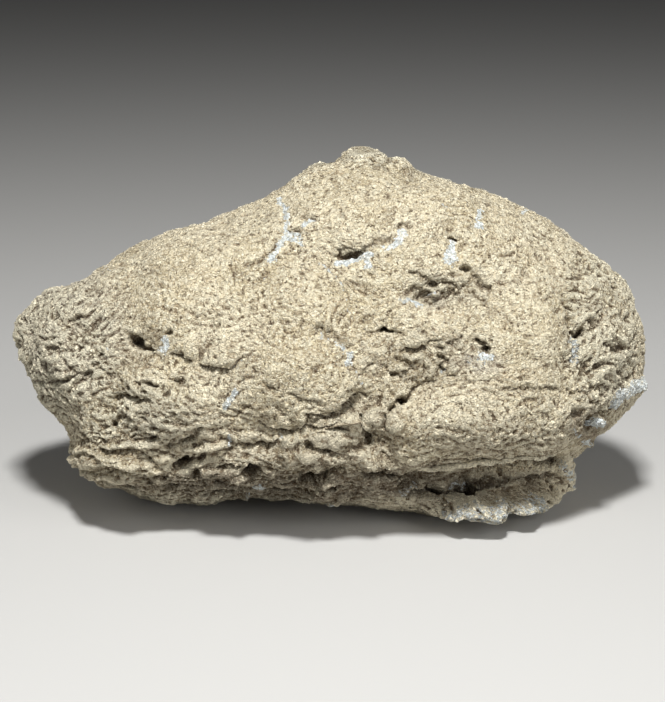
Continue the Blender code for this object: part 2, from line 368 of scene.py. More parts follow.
def oval(across, down, wide, high, turn=0, **sizes):
    # a turned ellipse in the view: its middle, its half-sizes, and the sizes of what is made there
    return {"at": (across, down), "half": (wide, high), "turn": turn, **sizes}


def trace(*path, **sizes):
    # a line in the view, point by point, and the sizes of what is made along it
    return {"path": path, **sizes}


# creases and cracks: how deep and half as wide the groove is in mm, how proud its upper side stands, and how
# dark the painted shade along it is
creases = {
    "veinCrack": trace(
        (282, 240), (276, 250), (269, 257), (258, 261), (242, 264), deep=0.9, wide=0.6, lift=0.5
    ),
    "veinGroove": trace(
        (280, 200), (284, 210), (287, 222), (286, 235), (280, 248), deep=0.5, wide=0.6, stain=0
    ),
    "veinBranch": trace((286, 233), (293, 230), (301, 235), deep=0.7, wide=0.5, lift=0.4),
    "domeNick": trace((300, 218), (308, 216), (318, 217), deep=1.0, wide=0.5, lift=0.3),
    "slitTop": trace((334, 249), (345, 246), (356, 248), deep=0.6, wide=0.4, lift=0.4),
    "slitTail": trace(
        (360, 252), (368, 246), (378, 239), (390, 239), (397, 243), deep=0.9, wide=0.6, lift=0.6
    ),
    "hookTop": trace((396, 229), (399, 225), (407, 224), (411, 228), deep=1.2, wide=0.5, lift=0.4),
    "eggRight": trace(
        (318, 259), (328, 268), (338, 277), (344, 290), (351, 302), (352, 316),
        deep=0.5, wide=0.5, stain=0.1,
    ),
    "eggFoot": trace(
        (312, 331), (322, 329), (336, 337), (347, 344), (353, 350), deep=0.9, wide=0.7, lift=0.7
    ),
    "caveTop": trace((408, 269), (418, 273), (427, 280), (434, 285), deep=0.8, wide=0.5, lift=0.5),
    "caveBack": trace(
        (434, 285), (446, 283), (458, 288), (472, 290), (482, 298), (492, 300), deep=1.2, wide=0.6, lift=0.6
    ),
    "caveFloor": trace(
        (414, 293), (421, 298), (431, 302), (441, 299), (449, 292), deep=1.6, wide=0.7, lift=0.4
    ),
    "caveLower": trace((436, 309), (443, 306), (450, 307), (454, 311), deep=0.6, wide=0.4, lift=0.3),
    "browTail": trace(
        (458, 267), (466, 268), (473, 275), (482, 285), (494, 292), deep=1.3, wide=0.7, lift=0.6
    ),
    "flankFaint": trace((482, 300), (488, 309), (490, 320), deep=0.4, wide=0.5),
    "shoulderLine": trace((193, 319), (203, 316), (213, 319), (227, 315), deep=0.7, wide=0.4, lift=0.4),
    "shoulderDash": trace((213, 330), (221, 324), deep=0.6, wide=0.4),
    "bellyHook": trace((262, 381), (269, 388), (279, 391), (282, 384), deep=0.6, wide=0.4, lift=0.3),
    "bellyLine": trace((294, 397), (306, 402), (323, 401), deep=0.8, wide=0.4, lift=0.5),
    "lowDash": trace((328, 429), (338, 427), (347, 428), deep=0.8, wide=0.5, lift=0.3),
    "valleyLine": trace((352, 404), (361, 414), (362, 428), (368, 440), deep=0.8, wide=0.5),
    "lowFold": trace((240, 443), (258, 443), (272, 441), (279, 436), deep=0.8, wide=0.5, lift=0.6),
    "lowBand": trace((305, 438), (316, 445), (330, 447), (342, 450), deep=0.9, wide=0.7, lift=0.6),
    "loafTop": trace(
        (496, 390), (512, 389), (530, 391), (548, 388), (562, 387), deep=0.8, wide=0.45, lift=0.4
    ),
    "endFold": trace(
        (562, 386), (572, 392), (582, 391), (592, 403), (602, 402), deep=0.9, wide=0.5, lift=0.5
    ),
    "endSeam": trace(
        (545, 250), (552, 264), (558, 280), (563, 297), (567, 312), deep=0.5, wide=0.6, stain=0.2
    ),
    "endSeamLow": trace((569, 336), (571, 350), (572, 364), deep=0.4, wide=0.5, stain=0.2),
    "endDash": trace((586, 309), (598, 307), (606, 310), deep=0.7, wide=0.4),
    "flangeCrack": trace((584, 432), (590, 422), (597, 413), (608, 409), deep=1.6, wide=0.6, lift=0.5),
    "flangeDash": trace((576, 410), (580, 420), (579, 428), deep=1.0, wide=0.5),
    "crestBite": trace((370, 163), (378, 168), (386, 163), (392, 157), deep=0.8, wide=0.5),
    "crestHole": trace((400, 172), (408, 171), (413, 177), (420, 178), deep=1.2, wide=0.6, lift=0.4),
    "leftBand": trace((108, 402), (122, 397), (136, 398), (148, 403), deep=1.3, wide=0.7, lift=0.9),
    "leftDash": trace((143, 378), (150, 383), (158, 389), deep=0.9, wide=0.5, lift=0.4),
    "leftDashTwo": trace((168, 376), (178, 383), (190, 386), deep=0.9, wide=0.5, lift=0.5),
    "leftLine": trace((30, 381), (50, 381), (68, 380), (76, 374), (90, 368), deep=0.8, wide=0.5, lift=0.6),
    "leftShort": trace((36, 343), (44, 341), (52, 340), deep=0.6, wide=0.4, lift=0.4),
    "leftDots": trace((76, 318), (84, 316), (90, 317), deep=0.6, wide=0.4),
    "waistOne": trace((136, 434), (150, 438), (162, 437), deep=0.8, wide=0.5, lift=0.5),
    "footLineOne": trace(
        (94, 453), (106, 449), (118, 451), (130, 454), (144, 457), deep=0.8, wide=0.5, lift=0.6
    ),
    "footLineTwo": trace((70, 462), (84, 464), (100, 462), deep=0.9, wide=0.5, lift=0.6),
    "footLineThree": trace(
        (112, 464), (128, 465), (142, 468), (156, 471), (176, 470), deep=0.9, wide=0.5, lift=0.7
    ),
    "footLineFour": trace((84, 474), (100, 474), (116, 479), (134, 481), deep=0.8, wide=0.5, lift=0.5),
    "heelOne": trace((384, 471), (404, 474), (424, 469), (444, 467), deep=0.8, wide=0.5, lift=0.5),
    "heelTwo": trace(
        (470, 470), (490, 466), (510, 468), (530, 463), (556, 457), deep=0.9, wide=0.6, lift=0.8
    ),
    "heelThree": trace((388, 483), (402, 482), (418, 484), deep=1.0, wide=0.6, lift=0.8),
    "heelFour": trace(
        (430, 488), (452, 492), (472, 484), (500, 480), (524, 484), (552, 486), deep=1.6, wide=0.9, lift=0.8
    ),
    "soleOne": trace((206, 462), (222, 459), (240, 460), (256, 464), deep=1.2, wide=0.9, lift=0.8),
    "soleTwo": trace(
        (256, 470), (274, 477), (292, 476), (310, 470), (330, 466), deep=0.9, wide=0.7, lift=0.7
    ),
    "soleThree": trace(
        (262, 488), (278, 489), (296, 486), (316, 482), (340, 483), deep=1.1, wide=0.7, lift=0.6
    ),
    "soleFour": trace((196, 478), (212, 484), (232, 487), (248, 483), deep=1.2, wide=0.8, lift=0.6),
    "soleFive": trace((330, 462), (350, 460), (372, 463), (390, 460), deep=0.7, wide=0.5, lift=0.5),
    "shoulderFootLeft": trace((170, 353), (182, 355), (195, 361), deep=1.3, wide=0.55, lift=0.7, reach=4),
    "shoulderFootRight": trace(
        (199, 364), (212, 369), (222, 371), (231, 370), deep=1.5, wide=0.55, lift=0.9, reach=4
    ),
    "shoulderFootRise": trace(
        (229, 371), (238, 365), (246, 357), (255, 350), deep=0.8, wide=0.35, lift=0.5, reach=4
    ),
    "bellyFootLeft": trace(
        (258, 421), (268, 426), (276, 430), (285, 430), (293, 426), deep=1.0, wide=0.4, lift=0.5
    ),
    "bellyFootUnder": trace(
        (284, 430), (298, 426), (306, 423), (318, 423), (330, 418), (340, 413),
        deep=1.4, wide=0.4, lift=-0.5, reach=3, stain=0.8,
    ),
    "bellyFoot": trace(
        (300, 416), (312, 414), (325, 414), (334, 410), (342, 407), (350, 407), (357, 399), (366, 392),
        deep=1.4, wide=0.4, lift=-0.6, reach=3, stain=0.8,
    ),
    "bellyBand": trace((304, 420), (316, 417), (328, 416), deep=0.7, wide=0.35, lift=0.3),
    "pitTail": trace((368, 334), (376, 332), (384, 331), deep=0.9, wide=0.35, lift=0.4),
    "pitTailRight": trace((390, 331), (398, 332), (404, 334), deep=0.8, wide=0.35, lift=0.3),
    "tornRoof": trace(
        (396, 354), (404, 350), (412, 349), (420, 348), (427, 345), (431, 341), (437, 339), (448, 339),
        deep=0.83, wide=0.35, lift=0.5,
    ),
    "tornRoofDeep": trace((404, 350), (412, 350), (420, 348), (427, 346), deep=1.4, wide=0.5, lift=0.8),
    "tornLintel": trace((430, 346), (435, 345), (439, 348), (447, 347), deep=0.45, wide=0.3),
    "tornSlash": trace((391, 357), (400, 361), (406, 364), (411, 368), deep=1, wide=0.4, lift=0.6),
    "tornVee": trace(
        (387, 372), (393, 375), (399, 374), (406, 371), (412, 368), deep=1.1, wide=0.4, lift=0.6
    ),
    "tornVeeLow": trace((399, 378), (405, 376), (409, 374), deep=0.68, wide=0.35, lift=0.4),
    "tornFaint": trace(
        (361, 371), (368, 366), (376, 362), (384, 365), (391, 372), deep=0.6, wide=0.35, lift=0.4
    ),
    "tornShort": trace((417, 373), (421, 369), (426, 369), deep=0.9, wide=0.35, lift=0.5),
    "tornShelf": trace((404, 380), (412, 381), (418, 384), deep=0.75, wide=0.4, lift=0.4),
    "tornFloor": trace((418, 383), (426, 381), (433, 382), (438, 379), deep=0.9, wide=0.4, lift=0.6),
    "tornFloorLow": trace((413, 388), (418, 386), (424, 386), deep=0.68, wide=0.35, lift=0.4),
    "tornKey": trace((436, 366), (441, 363), (446, 360), (451, 360), deep=1.4, wide=0.4, lift=0.7),
    "tornKeyHigh": trace((436, 357), (441, 358), (447, 355), deep=0.68, wide=0.45, stain=0.8),
    "tornDoor": trace((434, 376), (436, 369), (437, 364), deep=0.68, wide=0.35),
    "tornSill": trace((446, 373), (452, 375), (459, 375), deep=0.98, wide=0.4, lift=0.5),
    "tornNotch": trace((449, 344), (453, 347), (461, 351), deep=0.83, wide=0.4, lift=0.4),
    "tornPeak": trace((446, 345), (452, 342), (459, 337), (464, 336), deep=0.83, wide=0.5, stain=0.8),
    "tornEast": trace(
        (474, 341), (480, 344), (485, 350), (492, 353), deep=0.9, wide=0.5, lift=0.4, stain=0.8
    ),
    "tornEastHigh": trace((487, 341), (492, 340), deep=0.6, wide=0.35),
    "tornEastLow": trace((464, 382), (470, 384), (476, 383), deep=0.6, wide=0.4, lift=0.3),
    "tornEastFar": trace((478, 391), (486, 390), (493, 392), deep=0.6, wide=0.35, lift=0.3),
    "cornerCrack": trace(
        (393, 400), (400, 401), (407, 397), (411, 391), (416, 387), deep=2.0, wide=0.55, lift=0.8
    ),
    "cornerDrop": trace((386, 408), (392, 406), (397, 402), deep=1.6, wide=0.6, lift=0.5),
    "noduleGap": trace((361, 409), (362, 420), (364, 430), deep=0.9, wide=0.5, stain=0.7),
    "noduleGapRight": trace((384, 410), (385, 420), (381, 430), deep=1.3, wide=0.45, stain=0.7),
    "waistBand": trace(
        (162, 447), (175, 443), (188, 438), (201, 429), deep=1.8, wide=0.8, lift=0.6, stain=0.8
    ),
    "endTail": trace((580, 331), (588, 327), (600, 326), deep=1.3, wide=0.5, lift=0.5),
    "endEdge": trace((565, 300), (567, 312), (569, 326), (570, 338), deep=0.8, wide=0.4, stain=0.4),
    "footCurve": trace(
        (71, 452), (92, 452), (108, 456), (122, 463), (138, 468), (156, 471), (174, 471),
        deep=1.1, wide=0.4, lift=0.8, reach=2,
    ),
    "footCurveLow": trace(
        (74, 461), (92, 463), (106, 468), (117, 475), (124, 483), deep=1.1, wide=0.4, lift=0.8, reach=2
    ),
    "footCurveLast": trace(
        (80, 469), (95, 472), (106, 479), (114, 488), deep=1.0, wide=0.4, lift=0.7, reach=2
    ),
    "footCurveHigh": trace(
        (100, 446), (120, 446), (140, 450), (158, 459), deep=0.9, wide=0.35, lift=0.6, reach=2
    ),
    "lensEdge": trace(
        (296, 474), (306, 471), (318, 468), (332, 464), (350, 462), deep=2.0, wide=0.6, lift=0.6, reach=2
    ),
    "lensLine": trace(
        (304, 484), (316, 484), (330, 482), (346, 486), deep=1.2, wide=0.45, lift=0.6, reach=2
    ),
    "lensLineLow": trace(
        (306, 479), (320, 476), (336, 477), (350, 474), deep=1.0, wide=0.4, lift=0.6, reach=2
    ),
    "rightLine": trace(
        (386, 481), (398, 482), (414, 482), (430, 480), deep=1.3, wide=0.4, lift=0.6, reach=2
    ),
    "crustUnder": trace(
        (356, 466), (370, 469), (384, 472), (398, 476), (410, 474), deep=1.4, wide=0.5, lift=0.6, reach=2
    ),
    "lipEdge": trace(
        (436, 499), (452, 497), (470, 496), (490, 494), (510, 494), (530, 489), (548, 484),
        deep=1.6, wide=0.5,
    ),
    "heelGap": trace(
        (400, 493), (420, 495), (444, 495), (468, 492), (486, 488), deep=4.0, wide=1.1, stain=1.0
    ),
}

# hollows: middle, half-sizes and turn in the view, depth in mm, and how dark the painted shade and stain in
# them are
pits = {
    "slit": oval(351, 254, 15, 4, 14, deep=2.2),
    "slitLeft": oval(336, 254, 7, 2.5, deep=0.8),
    "drop": oval(452, 240, 6, 3, -8, deep=2.0),
    "brow": oval(466, 269, 6, 3.5, deep=1.4),
    "caveLeft": oval(424, 294, 9, 5, -20, deep=1.2, stain=0.8),
    "caveEye": oval(433, 285, 5, 3, deep=1.6),
    "caveRight": oval(452, 292, 10, 4, -10, deep=1.0, stain=0.8),
    "markPit": oval(168, 331, 5, 3.4, -5, deep=1.6),
    "lowPit": oval(115, 425, 5, 4.5, deep=1.6, stain=0.9),
    "lowPitLeft": oval(103, 427, 6, 3, deep=0.8),
    "crestPit": oval(415, 177, 5, 3, deep=1.3),
    "waistHole": oval(153, 438, 6, 3, deep=1.6),
    "waistBand": oval(173, 445, 8, 2.5, 6, deep=1.2),
    "waistBandHigh": oval(188, 439, 10, 4, 18, deep=1.2),
    "waistRise": oval(198, 431, 5, 4, 40, deep=0.9),
    "footPitFour": oval(146, 474, 9, 2.5, -10, deep=1.0),
    "soleCaveRight": oval(202, 455, 6, 3.5, deep=2.0, stain=0.9),
    "soleCaveLow": oval(200, 471, 9, 5, 15, deep=2.4, stain=0.9),
    "soleCaveLast": oval(219, 477, 8, 3.5, deep=2.0, stain=0.9),
    "soleStreak": oval(226, 463, 14, 2.5, 12, deep=1.6),
    "soleDarkLow": oval(276, 489, 15, 3.5, deep=2.2),
    "soleNick": oval(276, 478, 12, 2.5, deep=1.3),
    "midDark": oval(311, 440, 6, 4, -30, deep=1.4),
    "midDarkRight": oval(325, 446, 9, 3, -8, deep=1.4),
    "midCave": oval(309, 470, 10, 4.5, 12, deep=2.0, stain=0.9),
    "midSlit": oval(338, 428, 8, 2, 6, deep=1.4),
    "midNook": oval(270, 444, 7, 2.5, 20, deep=1.2),
    "bellyUnderPit": oval(282, 429, 9, 3, 8, deep=1.3),
    "valleyPit": oval(368, 438, 4, 6, 20, deep=1.8),
    "loafUnder": oval(378, 471, 20, 3, -12, deep=1.6),
    "bellyStreak": oval(326, 484, 20, 2.5, 2, deep=1.3),
    "heelNook": oval(430, 485, 9, 4, deep=1.2),
    "tornPit": oval(387, 331, 8, 3.2, -6, deep=2.4, stain=0.95),
    "tornDent": oval(483, 350, 5, 2.2, -10, deep=1.6, stain=0.9),
    "tornDentHigh": oval(479, 344, 6, 4, -30, deep=0.6, stain=0.6),
    "tornHollow": oval(440, 368, 4, 5, 20, deep=1.4, stain=0.8),
    "tornBrown": oval(443, 356, 8, 4, 20, deep=0.7, stain=0.6),
    "tornBrownRight": oval(455, 344, 7, 5, 20, deep=0.7, stain=0.6),
    "tornWedge": oval(393, 373, 6, 3, -10, deep=1.4, stain=0.9),
    "cornerPit": oval(402, 399, 8, 3.5, 18, deep=1.8, stain=0.95),
    "cornerPitLow": oval(391, 407, 6, 3, 20, deep=1.6, stain=0.9),
    "bellyPit": oval(346, 405, 7, 3, 20, deep=1.4, stain=0.8),
    "leftPit": oval(136, 341, 12, 6.5, -38, deep=2.4, stain=0.95),
    "leftPitTail": oval(148, 348, 8, 3, -12, deep=1.2, stain=0.8),
    "heelCave": oval(452, 492, 44, 7, 3, deep=4.6, stain=1.0),
    "heelShade": oval(484, 483, 84, 10, 4, deep=0.4, stain=0.9),
    "heelCaveLeft": oval(424, 493, 26, 3.5, 2, deep=2.4, stain=0.9),
    "heelCaveRight": oval(538, 481, 28, 5, 8, deep=1.9, stain=0.9),
    # a pit under the sole holding a near-black painted shade
    "soleShadePit": oval(283, 489, 20, 3, 2, deep=3.0, stain=0.95),
    "footPit": oval(124, 487, 14, 6, -25, deep=2.4, stain=0.9),
    "footPitTwo": oval(149, 479, 12, 6, -20, deep=2.4, stain=0.9),
    "footPitThree": oval(170, 484, 10, 4, deep=1.8, stain=0.9),
    "soleCave": oval(184, 460, 15, 6, 25, deep=3.4, stain=0.95),
    "soleDark": oval(252, 465, 13, 6, 5, deep=2.8, stain=0.95),
    "soleHollow": oval(228, 488, 18, 5, 4, deep=2.8, stain=0.9),
    "endPit": oval(577, 332, 7, 4, deep=2.6, stain=0.95),
    "endPitSmall": oval(572, 309, 6, 3, -20, deep=1.6, stain=0.9),
    "endPitRight": oval(594, 322, 9, 5, 10, deep=1.0),
    "ringPit": oval(617, 350, 9, 6, deep=1.2, stain=0.8),
    "ringPitLow": oval(600, 366, 8, 5, 20, deep=1.0, stain=0.6),
    "rightUnder": oval(550, 464, 14, 7, 15, deep=2.0, stain=0.9),
    "flangePit": oval(590, 424, 6, 9, -30, deep=2.4, stain=0.95),
    "flangePitHigh": oval(578, 412, 7, 7, deep=1.4, stain=0.9),
    "leftDashPit": oval(151, 384, 7, 2.5, -35, deep=1.2, stain=0.8),
    "leftDashPitTwo": oval(180, 380, 9, 3, -12, deep=1.2, stain=0.8),
    "leftBandPit": oval(130, 399, 12, 3, -6, deep=1.4, stain=0.9),
    "leftDarkHigh": oval(103, 340, 5, 4, deep=1.0),
    "leftDarkLow": oval(62, 380, 12, 3.5, 8, deep=1.3, stain=0.8),
    "leftDarkMid": oval(86, 374, 7, 4, 30, deep=1.2),
    "leftDarkTop": oval(80, 318, 7, 3, 10, deep=1.1),
}

# swellings: middle, half-sizes and turn in the view, and rise in mm
bumps = {
    "flangeTip": oval(645, 386, 8, 4, 20, rise=0.5),
    "fillUnderBelly": oval(322, 431, 60, 25, 14, rise=3.2),
    "soleFill": oval(310, 462, 120, 20, rise=2.6),
    "soleFillLeft": oval(215, 468, 60, 20, rise=1.6),
    "footFill": oval(130, 466, 66, 14, -8, rise=2.6),
    "heelFill": oval(484, 482, 100, 8, 4, rise=1.0),
    "loafFootBack": oval(484, 470, 105, 28, 3, rise=-2.8),
    "lipBody": oval(500, 498, 80, 5, 9, rise=5.0),
    "crestCap": oval(364, 155, 22, 10, -8, rise=0.9),
    "crestRight": oval(402, 166, 14, 7, -25, rise=0.9),
    "bellyStep": oval(346, 414, 28, 12, 12, rise=1.6),
    "noduleLeft": oval(351, 420, 11, 12, rise=1.8),
    "noduleMiddle": oval(373, 419, 12, 13, rise=1.8),
    "noduleRight": oval(394, 424, 10, 10, rise=1.2),
    "crustFoot": oval(370, 453, 24, 13, -10, rise=2.6),
    "bandUnderBelly": oval(314, 419, 26, 3.5, 12, rise=0.6),
    "lobePale": oval(290, 437, 18, 9, 12, rise=0.6),
    "lobeMiddle": oval(326, 433, 24, 9, 8, rise=0.7),
    "lobeUnder": oval(342, 440, 16, 6, 8, rise=0.7),
    "lobeLow": oval(312, 452, 12, 7, -20, rise=1.5),
    "lobeLowLeft": oval(286, 457, 17, 10, rise=1.3),
    "lobeLowRight": oval(336, 453, 15, 5, 4, rise=1.4),
    "lobeRim": oval(320, 460, 13, 4.5, 8, rise=1.4),
    "lensBody": oval(332, 480, 34, 17, 10, rise=3.0),
    "lensTop": oval(330, 473, 26, 8, 8, rise=1.4),
    "lensLow": oval(322, 493, 26, 6, -4, rise=2.0),
    "soleRight": oval(378, 482, 30, 14, -6, rise=2.0),
    "moundLeft": oval(250, 436, 20, 7, rise=0.6),
    "moundLow": oval(256, 452, 22, 8, rise=1.2),
    "moundWaist": oval(216, 446, 22, 5, 4, rise=1.2),
    "bandSole": oval(272, 475, 28, 5, 4, rise=2.4),
    "moundSole": oval(222, 483, 20, 5, 6, rise=2.2),
    "moundSoleFoot": oval(168, 493, 22, 8, rise=2.4),
    "moundSoleKnob": oval(205, 500, 14, 8, rise=2.0),
    "soleMound": oval(160, 477, 18, 6, rise=1.6),
    "soleKnob": oval(259, 483, 9, 4.5, rise=1.6),
    "footLip": oval(122, 473, 26, 5, -6, rise=2.0),
    "footLipLow": oval(106, 482, 16, 5, -20, rise=1.8),
    "heelShelf": oval(402, 488, 18, 5.5, rise=2.6),
    "heelRib": oval(567, 472, 5, 20, rise=2.4),
    "leftKnob": oval(130, 409, 14, 8, -10, rise=1.2),
    "caveIsland": oval(432, 296, 7, 2.5, rise=1.2),
    "tornPlate": oval(400, 367, 9, 5, -10, rise=0.9),
    "tornPlateTop": oval(412, 357, 15, 7, 12, rise=1.2),
    "tornPlateKey": oval(428, 368, 8, 11, rise=1.0),
    "tornPlateRight": oval(454, 367, 8, 8, rise=0.9),
    "tornBrow": oval(442, 343, 10, 4, rise=0.9),
    "lipKnobLeft": oval(448, 505, 12, 5, rise=1.4),
    "lipKnob": oval(482, 502, 14, 5, 6, rise=1.6),
    "lipKnobRight": oval(512, 499, 12, 5, 10, rise=1.6),
    "lipKnobLast": oval(548, 489, 14, 4, 12, rise=1.6),
    "flangeKnob": oval(590, 444, 5, 4, rise=1.8),
    "flangeSpine": oval(598, 424, 4, 9, -20, rise=1.6),
}

# raised edges: path in the view, rise and half-width in mm
ridges = {
    "heelLip": trace(
        (424, 508), (446, 506), (466, 503), (484, 502), (500, 500), (518, 499), (536, 494), (560, 489),
        rise=2.6, wide=1.2,
    ),
    "heelLipLow": trace(
        (404, 511), (430, 511), (460, 509), (490, 506), (520, 505), (545, 498), rise=1.6, wide=0.9
    ),
    "heelWedge": trace((446, 490), (456, 484), (470, 485), rise=1.2, wide=0.8),
    "flangeEdge": trace((606, 406), (618, 397), (632, 388), (646, 383), rise=1.0, wide=1.8),
    "footRib": trace(
        (72, 456), (90, 458), (110, 456), (126, 456), (138, 461), (148, 466), (158, 468), rise=2.0, wide=0.9
    ),
    "footRibTwo": trace((80, 469), (100, 469), (118, 468), (134, 473), (146, 473), rise=1.6, wide=0.9),
    "footRibHigh": trace((72, 450), (90, 449), (106, 450), rise=1.3, wide=0.8),
    "waistRib": trace((100, 446), (124, 444), (150, 443), (166, 441), rise=1.3, wide=0.9),
    "waistRibRight": trace((176, 449), (200, 448), (216, 446), (228, 443), rise=1.6, wide=0.8),
    "soleRib": trace((196, 470), (216, 470), (240, 472), (262, 480), rise=1.6, wide=0.8),
    "soleRibTwo": trace((262, 482), (290, 482), (320, 476), (350, 472), rise=1.6, wide=0.8),
    "lensRim": trace((325, 503), (336, 499), (346, 494), (353, 490), rise=2.4, wide=0.8),
    "soleTip": trace((233, 501), (240, 498), (250, 494), rise=2.4, wide=0.8),
}

# white mineral: path in the view, and half-width in mm
whites = {
    "veinTop": trace((280, 199), (284, 208), (286, 216), wide=0.55, strength=0.8),
    "vein": trace((287, 221), (287, 235), (282, 246), (279, 255), (271, 262), wide=0.6),
    "veinLeft": trace((271, 262), (268, 268), (266, 280), wide=0.35, strength=0.4),
    "branch": trace((289, 238), (297, 241), (301, 244), wide=0.5),
    "branchFill": trace((290, 234), (298, 236), wide=0.9, strength=0.6),
    "domeNick": trace((314, 219), (308, 222), (303, 227), wide=0.7, strength=0.8),
    "slitCrust": trace((338, 262), (350, 262), (360, 257), (368, 254), wide=0.9, strength=0.8),
    "slitCrustDrop": trace((364, 258), (368, 264), (368, 269), wide=0.6, strength=0.8),
    "hook": trace((402, 231), (401, 236), (397, 242), wide=1.0),
    "hookHead": oval(402, 233, 5.5, 6),
    "hookTail": trace((398, 242), (392, 247), (382, 247), wide=0.5),
    "drop": trace((452, 244), (452, 254), wide=0.8),
    "dropFoot": oval(450, 260, 7.5, 8.5, 10),
    "domeRight": oval(479, 213, 4.5, 8, strength=0.9),
    "domeRightHook": trace((482, 222), (481, 227), (476, 229), wide=0.45),
    "domeDot": trace((442, 205), (448, 211), wide=0.35, strength=0.6),
    "rimDot": trace((522, 214), (527, 211), wide=0.6, strength=0.8),
    "caveStreak": trace((401, 299), (411, 301), (421, 306), wide=0.7, strength=0.7),
    "caveIsland": trace((428, 295), (435, 294), wide=0.4, strength=0.7),
    "eggRight": trace(
        (318, 262), (328, 269), (337, 276), (342, 285), (347, 297), (349, 312), wide=0.35, strength=0.55
    ),
    "eggFoot": trace((315, 336), (322, 338), (332, 343), (342, 350), wide=1.2, strength=0.42),
    "eggFootDrop": trace((349, 353), (348, 364), wide=0.8, strength=0.9),
    "bellyVein": trace((352, 368), (358, 376), (366, 386), wide=0.5, strength=0.42),
    "tornDent": trace((482, 356), (492, 357), wide=0.9, strength=0.9),
    "tornDust": trace((470, 362), (484, 364), wide=1.6, strength=0.35),
    "tornHollow": trace((440, 371), (443, 368), wide=0.6, strength=0.5),
    "markPit": trace((164, 338), (167, 345), (164, 351), wide=0.8, strength=0.75),
    "shoulderFoot": trace((234, 369), (246, 359), (256, 352), wide=0.5, strength=0.35),
    "bellyLeft": trace((235, 391), (231, 399), (225, 408), wide=0.8, strength=0.85),
    "lowLeft": trace((229, 436), (232, 441), (228, 446), wide=0.6, strength=0.65),
    "lowMiddle": trace((280, 434), (286, 444), wide=1.0, strength=0.3),
    "soleChip": trace((252, 484), (260, 482), (264, 484), wide=0.5, strength=0.7),
    "soleTip": trace((232, 502), (238, 498), (250, 494), wide=0.6, strength=0.7),
    "soleTipTwo": trace((326, 503), (338, 500), wide=0.6, strength=0.6),
    "heelShelf": trace((392, 487), (404, 487), (414, 486), wide=0.6, strength=0.45),
    "heelNook": trace((416, 493), (428, 495), wide=0.5, strength=0.4),
    "heelWedge": trace((450, 487), (458, 484), (468, 486), wide=0.4, strength=0.5),
    "heelLip": trace((444, 506), (466, 504), (500, 499), (530, 495), wide=1.2, strength=0.52),
    "heelRib": trace((563, 462), (566, 474), (568, 487), wide=0.8, strength=0.5),
    "endPit": trace((575, 340), (576, 350), (574, 360), wide=1.1, strength=0.55),
    "flange": trace((613, 403), (622, 393), (634, 386), (646, 381), wide=1.5, strength=0.8),
    "flangeDots": trace((594, 426), (598, 420), wide=0.5, strength=0.8),
    "flangeFoot": trace((583, 443), (590, 440), wide=0.9, strength=0.6),
    "flangeLeft": trace((573, 430), (578, 436), wide=0.6, strength=0.6),
    "leftFleck": trace((103, 272), (109, 268), wide=0.8, strength=0.4),
    "leftFleckTwo": trace((110, 347), (116, 353), wide=0.7, strength=0.35),
}

# wrinkles: the line that they follow in the view, their reach beside it, and their length, width and depth
flows = {
    "egg": trace(
        (262, 322), (254, 300), (264, 278), (290, 264), (318, 264), (338, 280), (346, 305), (338, 325),
        reach=5.5, long=6, short=2.4, deep=0.45,
    ),
    "eggHeart": trace(
        (290, 316), (280, 302), (288, 288), (306, 286), (316, 300), reach=4, long=4, short=2.2, deep=0.3
    ),
    "belly": trace(
        (196, 396), (230, 416), (270, 420), (310, 410), (345, 396), (366, 372),
        reach=6, long=7, short=2.3, deep=0.5,
    ),
    "bellyHeart": trace(
        (240, 372), (268, 360), (300, 366), (330, 384), reach=7, long=5, short=2.6, deep=0.25
    ),
    "shoulder": trace(
        (150, 300), (180, 320), (215, 322), (250, 306), reach=8, long=5, short=2.4, deep=0.25
    ),
    "shoulderFoot": trace(
        (155, 366), (185, 376), (215, 384), (245, 372), reach=5, long=5, short=2.3, deep=0.5
    ),
    "footWaves": trace(
        (74, 458), (100, 450), (130, 456), (160, 462), (190, 448), (230, 444),
        reach=5, long=13, short=2.1, deep=0.9, lean=0.5,
    ),
    "footSole": trace(
        (88, 474), (120, 482), (160, 486), (200, 482), reach=3.5, long=14, short=2.4, deep=1.0, lean=0.4
    ),
    "lowFold": trace(
        (235, 436), (275, 436), (310, 430), (350, 424), reach=4, long=10, short=2.3, deep=0.4, lean=0.6
    ),
    "soleLeft": trace(
        (200, 476), (250, 476), (300, 474), (350, 470), (400, 474),
        reach=6, long=11, short=2.4, deep=1.0, lean=0.4,
    ),
    "soleRight": trace(
        (390, 486), (430, 478), (480, 474), (540, 466), reach=4, long=12, short=2.4, deep=1.0, lean=0.4
    ),
    "loaf": trace(
        (400, 432), (430, 416), (480, 410), (530, 414), (566, 430), reach=8, long=6, short=2.4, deep=0.25
    ),
    "loafFoot": trace((396, 455), (440, 452), (500, 448), (550, 446), reach=5, long=7, short=2.0, deep=0.5),
    "torn": trace(
        (376, 350), (404, 360), (430, 354), (456, 356), (490, 368), reach=8, long=6, short=3.0, deep=0.3
    ),
    "tornFoot": trace((372, 378), (400, 384), (430, 376), (460, 378), reach=5, long=6, short=2.6, deep=0.3),
    "rightEnd": trace((552, 262), (572, 300), (584, 340), (588, 380), reach=7, long=5, short=2.8, deep=0.3),
    "leftEnd": trace((30, 350), (60, 330), (90, 312), (126, 300), reach=12, long=5, short=3.0, deep=0.4),
    "leftFoot": trace((44, 392), (80, 386), (112, 398), (146, 412), reach=9, long=6, short=3.0, deep=0.6),
    "dome": trace((300, 210), (340, 196), (390, 194), (430, 206), reach=8, long=6, short=2.6, deep=0.2),
    "flank": trace((430, 250), (480, 256), (520, 280), (530, 320), reach=9, long=6, short=2.6, deep=0.2),
}

